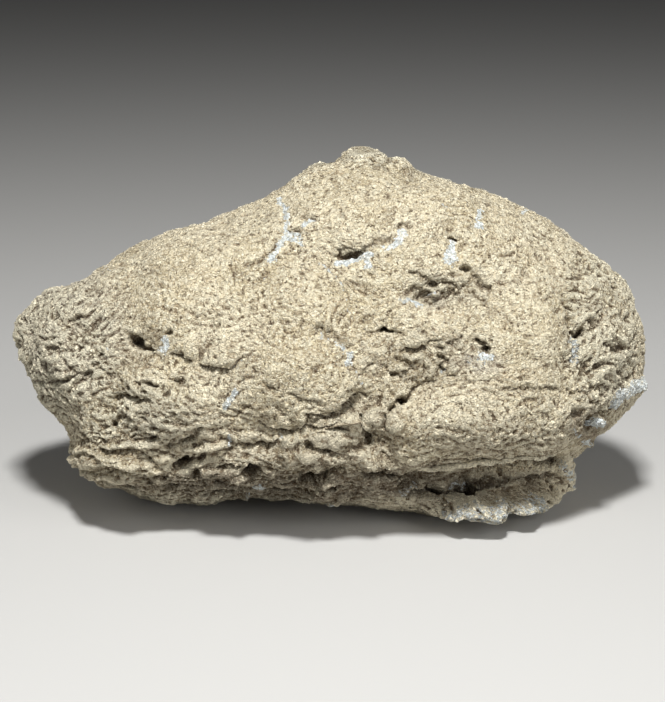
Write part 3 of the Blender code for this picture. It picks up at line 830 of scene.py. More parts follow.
# where the front is more broken up than elsewhere
roughAreas = {
    "soleEdge": oval(210, 500, 130, 12, amount=0.9),
    "leftEnd": oval(62, 350, 78, 95, amount=0.75),
    "leftFoot": oval(130, 415, 75, 40, amount=0.75),
    "torn": oval(425, 358, 72, 34, amount=0.3),
    "cave": oval(440, 288, 40, 20, amount=0.5),
    "valley": oval(375, 420, 30, 40, amount=0.4),
    "sole": oval(290, 480, 230, 34, amount=0.35),
    "rightEnd": oval(600, 330, 46, 110, amount=0.8),
    "crest": oval(375, 158, 38, 14, amount=0.8),
    "loaf": oval(495, 425, 100, 40, amount=0.4),
    "belly": oval(280, 385, 100, 45, amount=0.22),
    "midLow": oval(310, 432, 60, 20, amount=0.25),
    "lip": oval(490, 502, 80, 10, amount=1.0),
}

# where it lies in thin level layers
layeredAreas = {
    "sole": oval(290, 478, 230, 34, amount=1.0),
    "foot": oval(130, 458, 76, 30, amount=0.9),
    "lip": oval(490, 500, 90, 12, amount=0.6),
    "heelRoof": oval(470, 475, 100, 13, amount=0.7),
    "loafFoot": oval(490, 450, 90, 20, amount=0.3),
    "belly": oval(290, 430, 90, 22, amount=0.22),
}

# where it is greyer
greyAreas = {
    "leftEnd": oval(70, 330, 66, 80, amount=0.4),
    "leftEdge": oval(40, 380, 30, 50, amount=0.5),
    "sole": oval(300, 490, 230, 30, amount=0.2),
    "caveStreak": oval(425, 300, 30, 12, amount=0.4),
    "tornDust": oval(478, 364, 34, 12, amount=0.5),
    "rightEnd": oval(606, 335, 40, 70, amount=0.1),
    "flange": oval(625, 395, 30, 20, amount=0.3),
}

# where brown earth has stayed between the high places, and painted shade darkens the under side and its
# hollows
earthAndShadeAreas = {
    "sole": oval(300, 480, 230, 25, amount=1.0),
    "cave": oval(480, 488, 80, 12, amount=0.6),
    "foot": oval(150, 465, 90, 36, amount=0.4),
    "leftEnd": oval(70, 370, 70, 60, amount=0.12),
    "leftPit": oval(140, 350, 30, 26, amount=0.5),
    "waist": oval(170, 425, 60, 30, amount=0.5),
    "torn": oval(425, 360, 70, 36, amount=0.5),
    "hollow": oval(450, 290, 50, 20, amount=0.6),
    "valley": oval(370, 425, 50, 36, amount=0.5),
    "loafFoot": oval(500, 445, 90, 30, amount=0.5),
    "flange": oval(588, 425, 26, 26, amount=0.9),
    "midLow": oval(312, 448, 110, 22, amount=0.8),
}


# relief all over, coarse to fine. A layer rolls softly, folds into lumps, or is pitted between even tops
reliefLayers = {
    "swells": {
        "kind": "soft", "size": 9, "stretch": (1.2, 1, 1),
        "even": 0.36, "rough": 1.0, "start": 3.1,
    },
    "lumps": {
        "kind": "folded", "size": 4.8, "stretch": (1.5, 1.2, 0.9),
        "even": 0.09, "rough": 0.55, "start": 14.3,
    },
    "breaks": {
        "kind": "pitted", "size": 4.2, "stretch": (1.3, 1.2, 0.9),
        "even": 0.13, "rough": 1.2, "start": 58.2,
    },
    "nodules": {
        "kind": "pitted", "size": 1.9, "stretch": (1.4, 1.2, 0.9),
        "even": 0.15, "rough": 0.5, "start": 26.9,
    },
    "crumbs": {
        "kind": "soft", "size": 0.9, "stretch": (1.2, 1.2, 1),
        "even": 0.16, "rough": 0.26, "start": 47.5,
    },
}

# layers that lie nearly level, rounded, with painted shade in the gap between each and the next
strata = {
    "folds": {"size": 3.2, "stretch": (4.5, 3.5, 0.75), "deep": 1.9, "dark": 0.8, "start": 36.4},
    "leaves": {"size": 1.5, "stretch": (4.5, 3.5, 0.6), "deep": 0.7, "dark": 0.4, "start": 83.2},
}
strataGap = 0.07

# how far all of these wander from their places, in mm
layerBend = {"size": 13, "reach": 4.5, "starts": (6.6, 19.2, 33.8)}

# short creases that run level, and scattered pits, both darkened with painted shade
scatteredMarks = {
    "creaseSize": 5.2,
    "creaseStretch": (2.3, 2, 0.75),
    "creaseWide": 0.055,
    "creaseDeep": 0.42,
    "creaseShade": 0.25,
    "gapSize": 4,  # mm of the patches that hold creases and of those that don't
    "pitSize": 2.0,
    "pitStretch": (1.6, 1.4, 0.9),
    "pitDeep": 0.55,
    "pitShade": 0.35,
}

# the sides that the viewpoint doesn't show: patches in mm, and how rough and layered they are, how much
# earth and painted shade they get, and how grey they are
elsewhere = {
    "roughPatches": 26,
    "rough": (0.32, 0.5),  # at least, and more in the patches
    "layered": 0.35,
    "earth": 0.12,
    "greyPatches": 17,
    "grey": 0.5,
}


def roughness(state):
    # 0 where the surface is even and 1 where it is broken up
    least, more = elsewhere["rough"]
    patches = ramp(perlin(state["points"], elsewhere["roughPatches"], 71.3), -0.25, 0.35)
    rough = (least + more * patches) * (1 - 0.85 * state["facing"])
    return np.maximum(spread(state, roughAreas, rough), 0.8 * state["stain"])


def bentPoints(points):
    bend = [perlin(points, layerBend["size"], start) for start in layerBend["starts"]]
    return points + layerBend["reach"] * np.stack(bend, axis=1)


def carveLayers(state, bent, rough):
    for layer in reliefLayers.values():
        if layer["kind"] == "pitted":
            wave = 0.3 - ramp(-fractal(bent, layer["size"], layer["start"], layer["stretch"]), 0.0, 0.6)
        else:
            wave = perlin(bent, layer["size"], layer["start"], layer["stretch"])
        if layer["kind"] == "folded":
            wave = 2.2 * np.abs(wave) - 0.45
        state["rise"] += wave * (layer["even"] + (layer["rough"] - layer["even"]) * rough)


def carveStrata(state, bent):
    layered = spread(state, layeredAreas, elsewhere["layered"] * (1 - state["facing"]))
    for layer in strata.values():
        wave = perlin(bent, layer["size"], layer["start"], layer["stretch"])
        state["rise"] += layer["deep"] * layered * (np.sqrt(np.abs(wave) + 0.02) - 0.5)
        gap = layered * np.exp(-((wave / strataGap) ** 2))
        # painted shade in the gap
        darken(state, layer["dark"] * gap)


def scatterMarks(state, bent, rough):
    marks = scatteredMarks
    level = perlin(bent, marks["creaseSize"], 64.2, marks["creaseStretch"])
    broken = ramp(perlin(bent, marks["gapSize"], 75.5), -0.05, 0.25)
    crease = broken * np.exp(-((level / marks["creaseWide"]) ** 2))
    state["rise"] -= marks["creaseDeep"] * (0.35 + 0.65 * rough) * crease
    pit = ramp(perlin(bent, marks["pitSize"], 87.7, marks["pitStretch"]), 0.28, 0.55)
    state["rise"] -= marks["pitDeep"] * (0.4 + 0.6 * rough) * pit
    # painted shade in the creases and pits
    darken(state, marks["creaseShade"] * crease + marks["pitShade"] * pit)


def boxInMm():
    return [np.array(corner) / mm for corner in cadBox]


def eased(room):
    near = skinSizes["eased"]
    return np.where(room < near, near * np.exp(np.minimum(room / near - 1, 0)), room)


def pushOut(mesh, state):
    moved = state["points"] + state["push"] * state["rise"][:, None]
    moved = smoothed(moved, skinEdges, skinSizes["carvedTurns"], skinSizes["carvedStrength"])
    low, high = boxInMm()
    low, high = low + skinSizes["inset"], high - skinSizes["inset"]
    # relief fades out near the box's sides, and only its floor cuts it off
    foot = np.maximum(moved[:, 2], 0)
    moved = low + eased(moved - low)
    moved = high - eased(high - moved)
    moved[:, 2] = np.minimum(foot, moved[:, 2])
    writePoints(mesh, moved)


def markSkin(mesh, name, values):
    mesh.attributes.new(name, "FLOAT", "POINT").data.foreach_set("value", values)


def hollowness(mesh, turns, depth):
    # how far each point lies under the mean of its surroundings, from -1 to 1
    points = readPoints(mesh)
    under = np.sum((smoothed(points, skinEdges, turns) - points) * readNormals(mesh), axis=1)
    return np.clip(under / depth, -1, 1)


def spread(state, areas, start):
    # the most that any of these areas gives at each point
    most = np.zeros(len(start)) + start
    for area in areas.values():
        inside = 1 - ramp(besideSpot(state, area), *markShapes["areaEdge"])
        seen = ramp(state["facing"], *markShapes["areaFacing"])
        most = np.maximum(most, area["amount"] * inside * seen)
    return most


def besideCreases(state):
    near = np.zeros(len(state["points"]), bool)
    for crease in creases.values():
        near |= np.abs(besidePath(state, crease["path"])[0]) < skinSizes["nearCrease"]
    return near & (state["facing"] > 0.2)


splitFaces(skin.data, besideCreases(carveState(skin.data)))
skinEdges = readEdges(skin.data)
writePoints(skin.data, smoothed(readPoints(skin.data), skinEdges, 1))
print("skin ready:", len(skin.data.vertices), "points")


# how hollowness is found, near and wide: rounds of smoothing, and the depth in mm that counts as 1
hollowSizes = (6, 0.15), (50, 0.8)

# where grains may lie
grainRoom = {
    "foot": 0.9,  # mm kept free over the ground
    "box": 0.6,  # mm kept free inside the lump's box
    "fade": 0.3,
    "behind": 0.6,  # share of the grains that the sides out of view get
}


def markGrainRoom(mesh, state):
    points = readPoints(mesh)
    low, high = boxInMm()
    spare = np.minimum(points - low, high - points)
    spare[:, 2] = np.minimum(high[2] - points[:, 2], points[:, 2] - grainRoom["foot"])
    free = ramp(spare.min(axis=1), grainRoom["box"], grainRoom["box"] + grainRoom["fade"])
    bare = 1 - 0.85 * ramp(state["white"], 0.4, 0.8)
    seen = grainRoom["behind"] + (1 - grainRoom["behind"]) * state["facing"]
    markSkin(mesh, "sandRoom", free * bare * seen)
    markSkin(mesh, "calciteRoom", free * ramp(state["white"], 0.6, 0.9))


def markColours(mesh, state, rough):
    behind = 1 - state["facing"]
    earth = spread(state, earthAndShadeAreas, elsewhere["earth"] * behind)
    greyPatches = ramp(perlin(state["points"], elsewhere["greyPatches"], 93.1), -0.05, 0.35)
    near, wide = [hollowness(mesh, *sizes) for sizes in hollowSizes]
    hollow = 0.5 * near + 0.5 * wide
    markSkin(mesh, "white", state["white"])
    # painted shade and stain, strongest where the earth and painted shade mark is high
    markSkin(mesh, "stain", np.maximum(state["stain"], 0.85 * ramp(earth, 0.55, 1)))
    markSkin(mesh, "grey", spread(state, greyAreas, elsewhere["grey"] * greyPatches * behind))
    markSkin(mesh, "earth", earth)
    markSkin(mesh, "broken", rough)
    markSkin(mesh, "hollow", hollow * (0.45 + 0.55 * state["facing"]))


state = carveState(skin.data)
kinds = (raiseBump, bumps), (raiseRidge, ridges), (pressCrease, creases), (pressPit, pits), (wrinkle, flows)
for carve, forms in kinds:
    for each in forms.values():
        carve(state, each)
for patch in whites.values():
    whiten(state, patch)
rough = roughness(state)
bent = bentPoints(state["points"])
carveLayers(state, bent, rough)
carveStrata(state, bent)
scatterMarks(state, bent, rough)
pushOut(skin.data, state)
markColours(skin.data, state, rough)
markGrainRoom(skin.data, state)
thin(skin, skinSizes["most"])
lowest = (-np.inf, -np.inf, 0)  # nothing lies under the ground
writePoints(skin.data, np.maximum(readPoints(skin.data), lowest))
print("skin carved")


def linear(red, green, blue):
    # a colour as the eye reads it, 0 to 255, turned to the light that it reflects
    shares = [channel / 255 for channel in (red, green, blue)]
    return tuple(c / 12.92 if c < 0.04 else ((c + 0.055) / 1.055) ** 2.4 for c in shares) + (1,)


def addNode(tree, kind, inputs=None, **settings):
    # a node with its settings, and its inputs given as values or as the sockets that feed them
    node = tree.nodes.new(kind)
    for name, value in settings.items():
        setattr(node, name, value)
    for name, value in (inputs or {}).items():
        if isinstance(value, bpy.types.NodeSocket):
            tree.links.new(value, node.inputs[name])
        else:
            node.inputs[name].default_value = value
    return node


def mixColours(tree, factor, first, second):
    node = addNode(tree, "ShaderNodeMix", {0: factor, 6: first, 7: second}, data_type="RGBA")
    return node.outputs[2]


def between(tree, value, low, high, out=(0, 1)):
    node = addNode(tree, "ShaderNodeMapRange", {0: value, 1: low, 2: high, 3: out[0], 4: out[1]})
    node.interpolation_type = "SMOOTHSTEP"
    return node.outputs[0]


def reckon(tree, how, first, second):
    return addNode(tree, "ShaderNodeMath", {0: first, 1: second}, operation=how).outputs[0]


stoneColours = {
    "tan": linear(200, 186, 154),
    "cream": linear(220, 208, 179),
    "brown": linear(160, 138, 107),
    "darkSpeck": linear(90, 76, 56),
    "paleSpeck": linear(238, 230, 204),
    # seam: dark cracks in the stone, painted where the bump has grooves, so partly painted shade; also the
    # grit's colour
    "seam": linear(98, 80, 56),
    "grey": linear(200, 196, 187),
    # stain: earth stain and painted shade in creases, pits and hollows; deep: a near-black painted shade in
    # the deepest pits and caves
    "stain": linear(78, 58, 38),
    "deep": linear(40, 31, 22),
    "mineral": linear(208, 214, 214),
    "mineralShade": linear(168, 168, 160),
}

# how large each thing in the stone is, in mm, and how strong
stoneLook = {
    "patches": 19,  # cream among the tan
    "clouds": 3.2,  # brown
    "cloudy": 0.5,
    "greyClouds": 4,
    # dark seam lines, which lie in the bump's grooves as painted shade
    "seams": ({"size": 1.5, "wide": 0.03, "strength": 1}, {"size": 0.7, "wide": 0.05, "strength": 0.7}),
    "seamPatches": 4.5,
    "speckBends": 1.9,  # how many bends a mm specks have, and how far they go
    "speckBend": 0.9,
    "fineSpecks": (0.75, 0.8),  # their size and number as shares of the coarse ones'
    "speckTone": (0.45, 0.95),
    "grit": (0.42, 0.36, 0.62),  # size, and strength where the stone is even and where it is broken
    "glint": 0.46,
    "wornAndHighlit": (0.45, 0.85),  # how much paler high places are, as wear and as painted highlight, where the stone is even and where it is broken
    "bare": 0.3,  # and how much more painted highlight where earth lies beside them
    "earthAndShadeClouds": 2.2,
    # clouds in the stain and painted shade
    "stainAndShadeClouds": 1.2,
    "mineralEdge": 0.8,
    "mineralClouds": 0.6,
    "bumpSize": 0.48,
    "bumpy": (1.1, 2.0),  # bump height where the stone is even and where it is broken
    "bumpDistance": 0.35,
    "roughness": (0.93, 0.6),  # the stone's and the mineral's
    "specular": 0.25,
}


def startStoneGroup():
    group = bpy.data.node_groups.new("sandyStone", "ShaderNodeTree")
    sockets = group.interface
    # the last socket sets how dark stain and painted shade make the stone
    for name, value in (("Speck Size", 0.75), ("Dark Specks", 0.12), ("Pale Specks", 0.12), ("Stain And Shade", 0.6)):
        sockets.new_socket(name, in_out="INPUT", socket_type="NodeSocketFloat").default_value = value
    sockets.new_socket("Color", in_out="OUTPUT", socket_type="NodeSocketColor")
    sockets.new_socket("White", in_out="OUTPUT", socket_type="NodeSocketFloat")
    sockets.new_socket("Height", in_out="OUTPUT", socket_type="NodeSocketFloat")
    return group, group.nodes.new("NodeGroupInput").outputs


def makeStoneGroup():
    # the sandy stone's colour and fine relief, shared by the skin and its grains
    group, given = startStoneGroup()
    look, paint = stoneLook, stoneColours
    place = addNode(group, "ShaderNodeTexCoord").outputs["Object"]
    place = addNode(group, "ShaderNodeVectorMath", {0: place, "Scale": 1 / mm}, operation="SCALE").outputs[0]

    def noiseAt(size, detail=3, roughness=0.6):
        inputs = {"Vector": place, "Scale": 1 / size, "Detail": detail, "Roughness": roughness}
        return addNode(group, "ShaderNodeTexNoise", inputs, noise_dimensions="3D").outputs["Fac"]

    def marked(name):
        return addNode(group, "ShaderNodeAttribute", attribute_name=name).outputs["Fac"]

    def times(first, second):
        return reckon(group, "MULTIPLY", first, second)

    def mixed(factor, colour, second):
        return mixColours(group, factor, colour, second)

    def ground():
        patches = between(group, noiseAt(look["patches"], 2), 0.36, 0.64)
        clouds = between(group, noiseAt(look["clouds"], 3), 0.5, 0.72, (0, look["cloudy"]))
        grey = times(marked("grey"), between(group, noiseAt(look["greyClouds"], 3), 0.35, 0.62, (0.3, 1)))
        colour = mixed(patches, paint["tan"], paint["cream"])
        colour = mixed(clouds, colour, paint["brown"])
        return mixed(grey, colour, paint["grey"])

    def seamedAndShaded(colour, valleys):
        # dark cracks along the bump's grooves, partly painted shade
        lines = []
        for valley, seam in zip(valleys, look["seams"]):
            lines.append(times(between(group, valley, 0, seam["wide"], (1, 0)), seam["strength"]))
        seams = reckon(group, "MAXIMUM", *lines)
        seams = times(seams, between(group, noiseAt(look["seamPatches"], 2), 0.36, 0.6, (0.15, 0.75)))
        return mixed(seams, colour, paint["seam"])

    def specks(size, bent):
        scale = reckon(group, "DIVIDE", 1, size)
        cells = addNode(group, "ShaderNodeTexVoronoi", {"Vector": bent, "Scale": scale})
        parts = addNode(group, "ShaderNodeSeparateColor", {0: cells.outputs["Color"]})
        return parts.outputs, cells.outputs["Distance"]

    def specked(colour, parts, share):
        tone = between(group, parts["Green"], 0, 1, look["speckTone"])
        dark = reckon(group, "LESS_THAN", parts["Red"], times(given["Dark Specks"], share))
        pale = reckon(group, "LESS_THAN", parts["Blue"], times(given["Pale Specks"], share))
        colour = mixed(times(dark, tone), colour, paint["darkSpeck"])
        return mixed(times(pale, tone), colour, paint["paleSpeck"])

    def gritty(colour):
        size, even, broken = look["grit"]
        strong = between(group, marked("broken"), 0, 0.6, (even, broken))
        grit = times(strong, between(group, noiseAt(size, 1), 0.5, 0.66))
        glint = times(strong, between(group, noiseAt(look["glint"], 1), 0.52, 0.67))
        return mixed(glint, mixed(grit, colour, paint["seam"]), paint["paleSpeck"])

    def weatheredAndShaded(colour):
        # high places are painted paler, as wear and as painted highlight; hollow ones keep earth, stain and
        # painted shade, and the deepest get a near-black painted shade
        hollow, stainAndShadeMark = marked("hollow"), marked("stain")
        wornAndHighlit = between(group, marked("broken"), 0.35, 0.8, look["wornAndHighlit"])
        wornAndHighlit = times(wornAndHighlit, between(group, hollow, 0.02, -0.35))
        # painted highlight on high places where earth lies
        bare = times(marked("earth"), between(group, hollow, 0, -0.35, (0, look["bare"])))
        colour = mixed(reckon(group, "ADD", wornAndHighlit, bare), colour, paint["paleSpeck"])
        clouds = between(group, noiseAt(look["earthAndShadeClouds"], 3), 0.3, 0.7, (-0.3, 0.3))
        low = reckon(group, "ADD", hollow, clouds)
        earth = times(marked("earth"), between(group, low, -0.5, 0.2, (0.55, 1)))
        # painted shade in hollows, with the stain and painted shade marks
        stain = reckon(group, "MAXIMUM", stainAndShadeMark, between(group, hollow, 0.04, 0.5))
        stain = times(reckon(group, "MAXIMUM", stain, earth), given["Stain And Shade"])
        stain = times(stain, between(group, noiseAt(look["stainAndShadeClouds"], 3), 0.3, 0.6, (0.45, 1)))
        colour = mixed(stain, colour, paint["stain"])
        # near-black painted shade where the mark is strongest
        return mixed(between(group, stainAndShadeMark, 0.8, 0.98, (0, 0.75)), colour, paint["deep"])

    def crusted(colour):
        crumble = between(group, noiseAt(look["mineralEdge"], 3), 0.2, 0.8, (-0.35, 0.35))
        white = between(group, reckon(group, "ADD", marked("white"), crumble), 0.42, 0.6)
        clouds = between(group, noiseAt(look["mineralClouds"], 2), 0.35, 0.6)
        mineral = mixed(clouds, paint["mineralShade"], paint["mineral"])
        return mixed(white, colour, mineral), white

    def bumpHeight(valleys, coarseEdge, fineEdge):
        height = noiseAt(look["bumpSize"], 3, 0.8)
        for edge, weight in ((coarseEdge, -0.6), (fineEdge, -0.35)):
            height = reckon(group, "ADD", height, times(edge, weight))
        for valley in valleys:
            height = reckon(group, "ADD", height, times(between(group, valley, 0, 0.08), 0.55))
        return times(height, between(group, marked("broken"), 0, 1, look["bumpy"]))

    valleys = []
    for seam in look["seams"]:
        fromMiddle = reckon(group, "SUBTRACT", noiseAt(seam["size"], 1), 0.5)
        valleys.append(reckon(group, "ABSOLUTE", fromMiddle, 0))
    bend = {"Vector": place, "Scale": look["speckBends"], "Detail": 2}
    bend = addNode(group, "ShaderNodeTexNoise", bend).outputs["Color"]
    bend = addNode(group, "ShaderNodeVectorMath", {0: bend, "Scale": look["speckBend"]}, operation="SCALE")
    bent = addNode(group, "ShaderNodeVectorMath", {0: place, 1: bend.outputs[0]}).outputs[0]
    smaller, fewer = look["fineSpecks"]
    coarse, coarseEdge = specks(given["Speck Size"], bent)
    fine, fineEdge = specks(times(given["Speck Size"], smaller), bent)
    colour = seamedAndShaded(ground(), valleys)
    colour = specked(specked(colour, coarse, 1), fine, fewer)
    colour, white = crusted(weatheredAndShaded(gritty(colour)))
    height = bumpHeight(valleys, coarseEdge, fineEdge)
    addNode(group, "NodeGroupOutput", {"Color": colour, "White": white, "Height": height})
    return group


# what differs between the skin's stone and its grains'
stoneKinds = {
    "sandyStoneSkin": {
        "sockets": {"Speck Size": 0.55, "Dark Specks": 0.07, "Pale Specks": 0.12, "Stain And Shade": 0.85},
        "bump": 1.0,
    },
    "sandyStoneGrain": {
        "sockets": {"Speck Size": 0.55, "Dark Specks": 0.03, "Pale Specks": 0.06, "Stain And Shade": 0.85},
        "bump": 0.4,
    },
}

calciteLook = {
    "cloudScale": 900,  # clouds to a metre
    "veil": 0.4,  # how strongly cream clouds it
    "bump": 0.4,
    "bumpDistance": 0.1,  # mm
    "roughness": 0.5,
    "specular": 0.4,
}


def startMaterial(name):
    material = bpy.data.materials.new(name)
    material.use_nodes = True
    tree = material.node_tree
    return material, tree, tree.nodes["Principled BSDF"].inputs


def addBump(tree, height, strength, distance):
    relief = {"Height": height, "Strength": strength, "Distance": distance * mm}
    return addNode(tree, "ShaderNodeBump", relief).outputs[0]


def makeStone(name, grainTones=False):
    kind = stoneKinds[name]
    stone, tree, inputs = startMaterial(name)
    group = addNode(tree, "ShaderNodeGroup", kind["sockets"], node_tree=stoneGroup).outputs
    colour = group["Color"]
    if grainTones:
        tone = addNode(tree, "ShaderNodeAttribute", attribute_name="tone").outputs["Fac"]
        pale, dark = between(tree, tone, 0.2, 1, (0, 0.3)), between(tree, tone, 0, 0.16, (0.75, 0))
        colour = mixColours(tree, pale, colour, stoneColours["paleSpeck"])
        colour = mixColours(tree, dark, colour, stoneColours["darkSpeck"])
    tree.links.new(colour, inputs["Base Color"])
    bumped = addBump(tree, group["Height"], kind["bump"], stoneLook["bumpDistance"])
    tree.links.new(bumped, inputs["Normal"])
    tree.links.new(between(tree, group["White"], 0, 1, stoneLook["roughness"]), inputs["Roughness"])
    inputs["Specular IOR Level"].default_value = stoneLook["specular"]
    return stone


def makeCalcite():
    calcite, tree, inputs = startMaterial("calciteCrust")
    tone = addNode(tree, "ShaderNodeAttribute", attribute_name="tone").outputs["Fac"]
    tone = between(tree, tone, 0.1, 0.8)
    place = addNode(tree, "ShaderNodeTexCoord").outputs["Object"]
    cloud = {"Vector": place, "Scale": calciteLook["cloudScale"], "Detail": 3}
    cloud = addNode(tree, "ShaderNodeTexNoise", cloud).outputs["Fac"]
    veil = between(tree, cloud, 0.45, 0.7, (0, calciteLook["veil"]))
    colour = mixColours(tree, tone, stoneColours["mineralShade"], stoneColours["mineral"])
    colour = mixColours(tree, veil, colour, stoneColours["cream"])
    tree.links.new(colour, inputs["Base Color"])
    bumped = addBump(tree, cloud, calciteLook["bump"], calciteLook["bumpDistance"])
    tree.links.new(bumped, inputs["Normal"])
    inputs["Roughness"].default_value = calciteLook["roughness"]
    inputs["Specular IOR Level"].default_value = calciteLook["specular"]
    return calcite


stoneGroup = makeStoneGroup()
skin.data.materials.clear()
skin.data.materials.append(makeStone("sandyStoneSkin"))
skin.data.shade_smooth()
print("stone made")


# grains set half into the skin. Gap is in mm, density in grains to a square mm, and small and large in mm
grainKinds = {
    "sandGrains": {"gap": 0.5, "density": 1.08, "small": 0.3, "large": 0.6, "round": 0, "seed": 4},
    "sandGrainsFine": {"gap": 0.5, "density": 1.08, "small": 0.25, "large": 0.5, "round": 0, "seed": 21},
    "gritGrains": {"gap": 1.2, "density": 0.4, "small": 0.4, "large": 0.85, "round": 1, "seed": 9},
    "calciteGrains": {"gap": 0.25, "density": 14, "small": 0.3, "large": 0.7, "round": 1, "seed": 15},
}


def makeGrainTree():
    # points spread over the skin, a squashed grain on each, and a random tone for each grain
    tree = bpy.data.node_groups.new("grainsOnSkin", "GeometryNodeTree")
    sockets = tree.interface
    sockets.new_socket("Geometry", in_out="INPUT", socket_type="NodeSocketGeometry")
    for name in ("Gap", "Density", "Small", "Large"):
        sockets.new_socket(name, in_out="INPUT", socket_type="NodeSocketFloat")
    sockets.new_socket("Round", in_out="INPUT", socket_type="NodeSocketBool")
    sockets.new_socket("Seed", in_out="INPUT", socket_type="NodeSocketInt")
    sockets.new_socket("Room", in_out="INPUT", socket_type="NodeSocketString")
    sockets.new_socket("Material", in_out="INPUT", socket_type="NodeSocketMaterial")
    sockets.new_socket("Geometry", in_out="OUTPUT", socket_type="NodeSocketGeometry")
    given = tree.nodes.new("NodeGroupInput").outputs
    room = addNode(tree, "GeometryNodeInputNamedAttribute", {"Name": given["Room"]}, data_type="FLOAT")
    laidOut = addNode(
        tree,
        "GeometryNodeDistributePointsOnFaces",
        {
            "Mesh": given["Geometry"],
            "Distance Min": given["Gap"],
            "Density Max": given["Density"],
            "Density Factor": room.outputs[0],
            "Seed": given["Seed"],
        },
        distribute_method="POISSON",
    )
    ball = addNode(tree, "GeometryNodeMeshIcoSphere", {"Radius": 0.5 * mm, "Subdivisions": 1})
    chip = addNode(tree, "GeometryNodeMeshUVSphere", {"Radius": 0.5 * mm, "Segments": 4, "Rings": 2})
    shape = addNode(
        tree,
        "GeometryNodeSwitch",
        {"Switch": given["Round"], "False": chip.outputs["Mesh"], "True": ball.outputs["Mesh"]},
        input_type="GEOMETRY",
    )
    turn = addNode(
        tree,
        "FunctionNodeRandomValue",
        {"Min": (-0.5, -0.5, 0), "Max": (0.5, 0.5, 6.28), "Seed": given["Seed"]},
        data_type="FLOAT_VECTOR",
    )
    turned = addNode(
        tree,
        "FunctionNodeRotateRotation",
        {"Rotation": laidOut.outputs["Rotation"], "Rotate By": turn.outputs[0]},
        rotation_space="LOCAL",
    )
    size = addNode(
        tree,
        "FunctionNodeRandomValue",
        {2: given["Small"], 3: given["Large"], "Seed": reckon(tree, "ADD", given["Seed"], 101)},
        data_type="FLOAT",
    )
    squash = addNode(
        tree,
        "FunctionNodeRandomValue",
        {"Min": (0.8, 0.6, 0.4), "Max": (1.4, 1.0, 0.65), "Seed": reckon(tree, "ADD", given["Seed"], 202)},
        data_type="FLOAT_VECTOR",
    )
    scale = addNode(
        tree, "ShaderNodeVectorMath", {0: squash.outputs[0], "Scale": size.outputs[1]}, operation="SCALE"
    )
    placed = addNode(
        tree,
        "GeometryNodeInstanceOnPoints",
        {
            "Points": laidOut.outputs["Points"],
            "Instance": shape.outputs[0],
            "Rotation": turned.outputs[0],
            "Scale": scale.outputs[0],
        },
    )
    toneSeed = reckon(tree, "ADD", given["Seed"], 303)
    tone = addNode(tree, "FunctionNodeRandomValue", {"Seed": toneSeed}, data_type="FLOAT")
    toned = addNode(
        tree,
        "GeometryNodeStoreNamedAttribute",
        {"Geometry": placed.outputs[0], "Name": "tone", "Value": tone.outputs[1]},
        data_type="FLOAT",
        domain="INSTANCE",
    )
    real = addNode(tree, "GeometryNodeRealizeInstances", {"Geometry": toned.outputs[0]})
    dressed = addNode(
        tree, "GeometryNodeSetMaterial", {"Geometry": real.outputs[0], "Material": given["Material"]}
    )
    addNode(tree, "NodeGroupOutput", {"Geometry": dressed.outputs[0]})
    return tree


def makeGrains(name, kind, room, material):
    carrier = bpy.data.objects.new(name, skin.data.copy())
    bpy.context.scene.collection.objects.link(carrier)
    modifier = carrier.modifiers.new("grains", "NODES")
    modifier.node_group = grainTree
    values = {
        "Gap": kind["gap"] * mm,
        "Density": kind["density"] / mm**2,
        "Small": kind["small"],
        "Large": kind["large"],
        "Round": bool(kind["round"]),
        "Seed": kind["seed"],
        "Room": room,
        "Material": material,
    }
    for item in grainTree.interface.items_tree:
        if item.in_out == "INPUT" and item.name in values:
            modifier[item.identifier] = values[item.name]
    carrier.data.materials.clear()
    graph = bpy.context.evaluated_depsgraph_get()
    carrier.data = bpy.data.meshes.new_from_object(carrier.evaluated_get(graph))
    carrier.modifiers.clear()
    return carrier


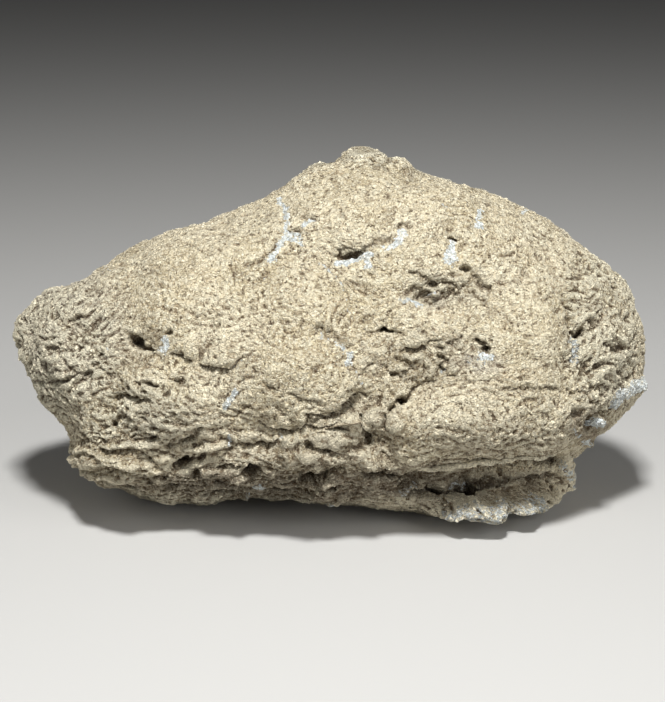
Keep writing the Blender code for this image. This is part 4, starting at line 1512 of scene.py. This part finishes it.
grainTree = makeGrainTree()
grainStone = makeStone("sandyStoneGrain", grainTones=True)
calcite = makeCalcite()
grains = {}
for name, kind in grainKinds.items():
    room, stone = ("calciteRoom", calcite) if name == "calciteGrains" else ("sandRoom", grainStone)
    grains[name] = makeGrains(name, kind, room, stone)
    grains[name].data.calc_loop_triangles()
    print(name, "set:", len(grains[name].data.loop_triangles), "triangles")


studio = {
    "floor": 3,  # m
    "floorColour": linear(188, 187, 184),
    "lamps": {
        "key": {"at": (0.0, -0.33, 0.60), "size": 0.09, "watts": 5.95},
        "fillRight": {"at": (0.6, -0.6, 0.4), "size": 0.6, "watts": 3.6},
        "fillLeft": {"at": (-0.6, -0.6, 0.4), "size": 0.6, "watts": 1.7},
    },
    "aim": (0, 0, 0.04),
    "sky": 0.04,
}


def makeFloor():
    half = studio["floor"] / 2
    corners = [(-half, -half, 0), (half, -half, 0), (half, half, 0), (-half, half, 0)]
    mesh = bpy.data.meshes.new("floor")
    mesh.from_pydata(corners, [], [(0, 1, 2, 3)])
    floor = bpy.data.objects.new("floor", mesh)
    bpy.context.scene.collection.objects.link(floor)
    paint, _, inputs = startMaterial("floorPaper")
    inputs["Base Color"].default_value = studio["floorColour"]
    inputs["Roughness"].default_value = 0.95
    inputs["Specular IOR Level"].default_value = 0.1
    mesh.materials.append(paint)


def makeLamp(name, lamp):
    data = bpy.data.lights.new(name, "AREA")
    data.size = lamp["size"]
    data.energy = lamp["watts"]
    light = bpy.data.objects.new(name, data)
    light.location = lamp["at"]
    light.rotation_euler = (Vector(lamp["at"]) - Vector(studio["aim"])).to_track_quat("Z", "Y").to_euler()
    bpy.context.scene.collection.objects.link(light)


def makeSky():
    world = bpy.data.worlds.new("sky")
    world.use_nodes = True
    world.node_tree.nodes["Background"].inputs["Color"].default_value = (1, 1, 1, 1)
    world.node_tree.nodes["Background"].inputs["Strength"].default_value = studio["sky"]
    bpy.context.scene.world = world


makeFloor()
for name, lamp in studio["lamps"].items():
    makeLamp(name, lamp)
makeSky()
bpy.context.scene.view_settings.view_transform = "Standard"
print("stage lit")

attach(skin, "root")
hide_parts("coprolite")
for piece in grains.values():
    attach(piece, "root")
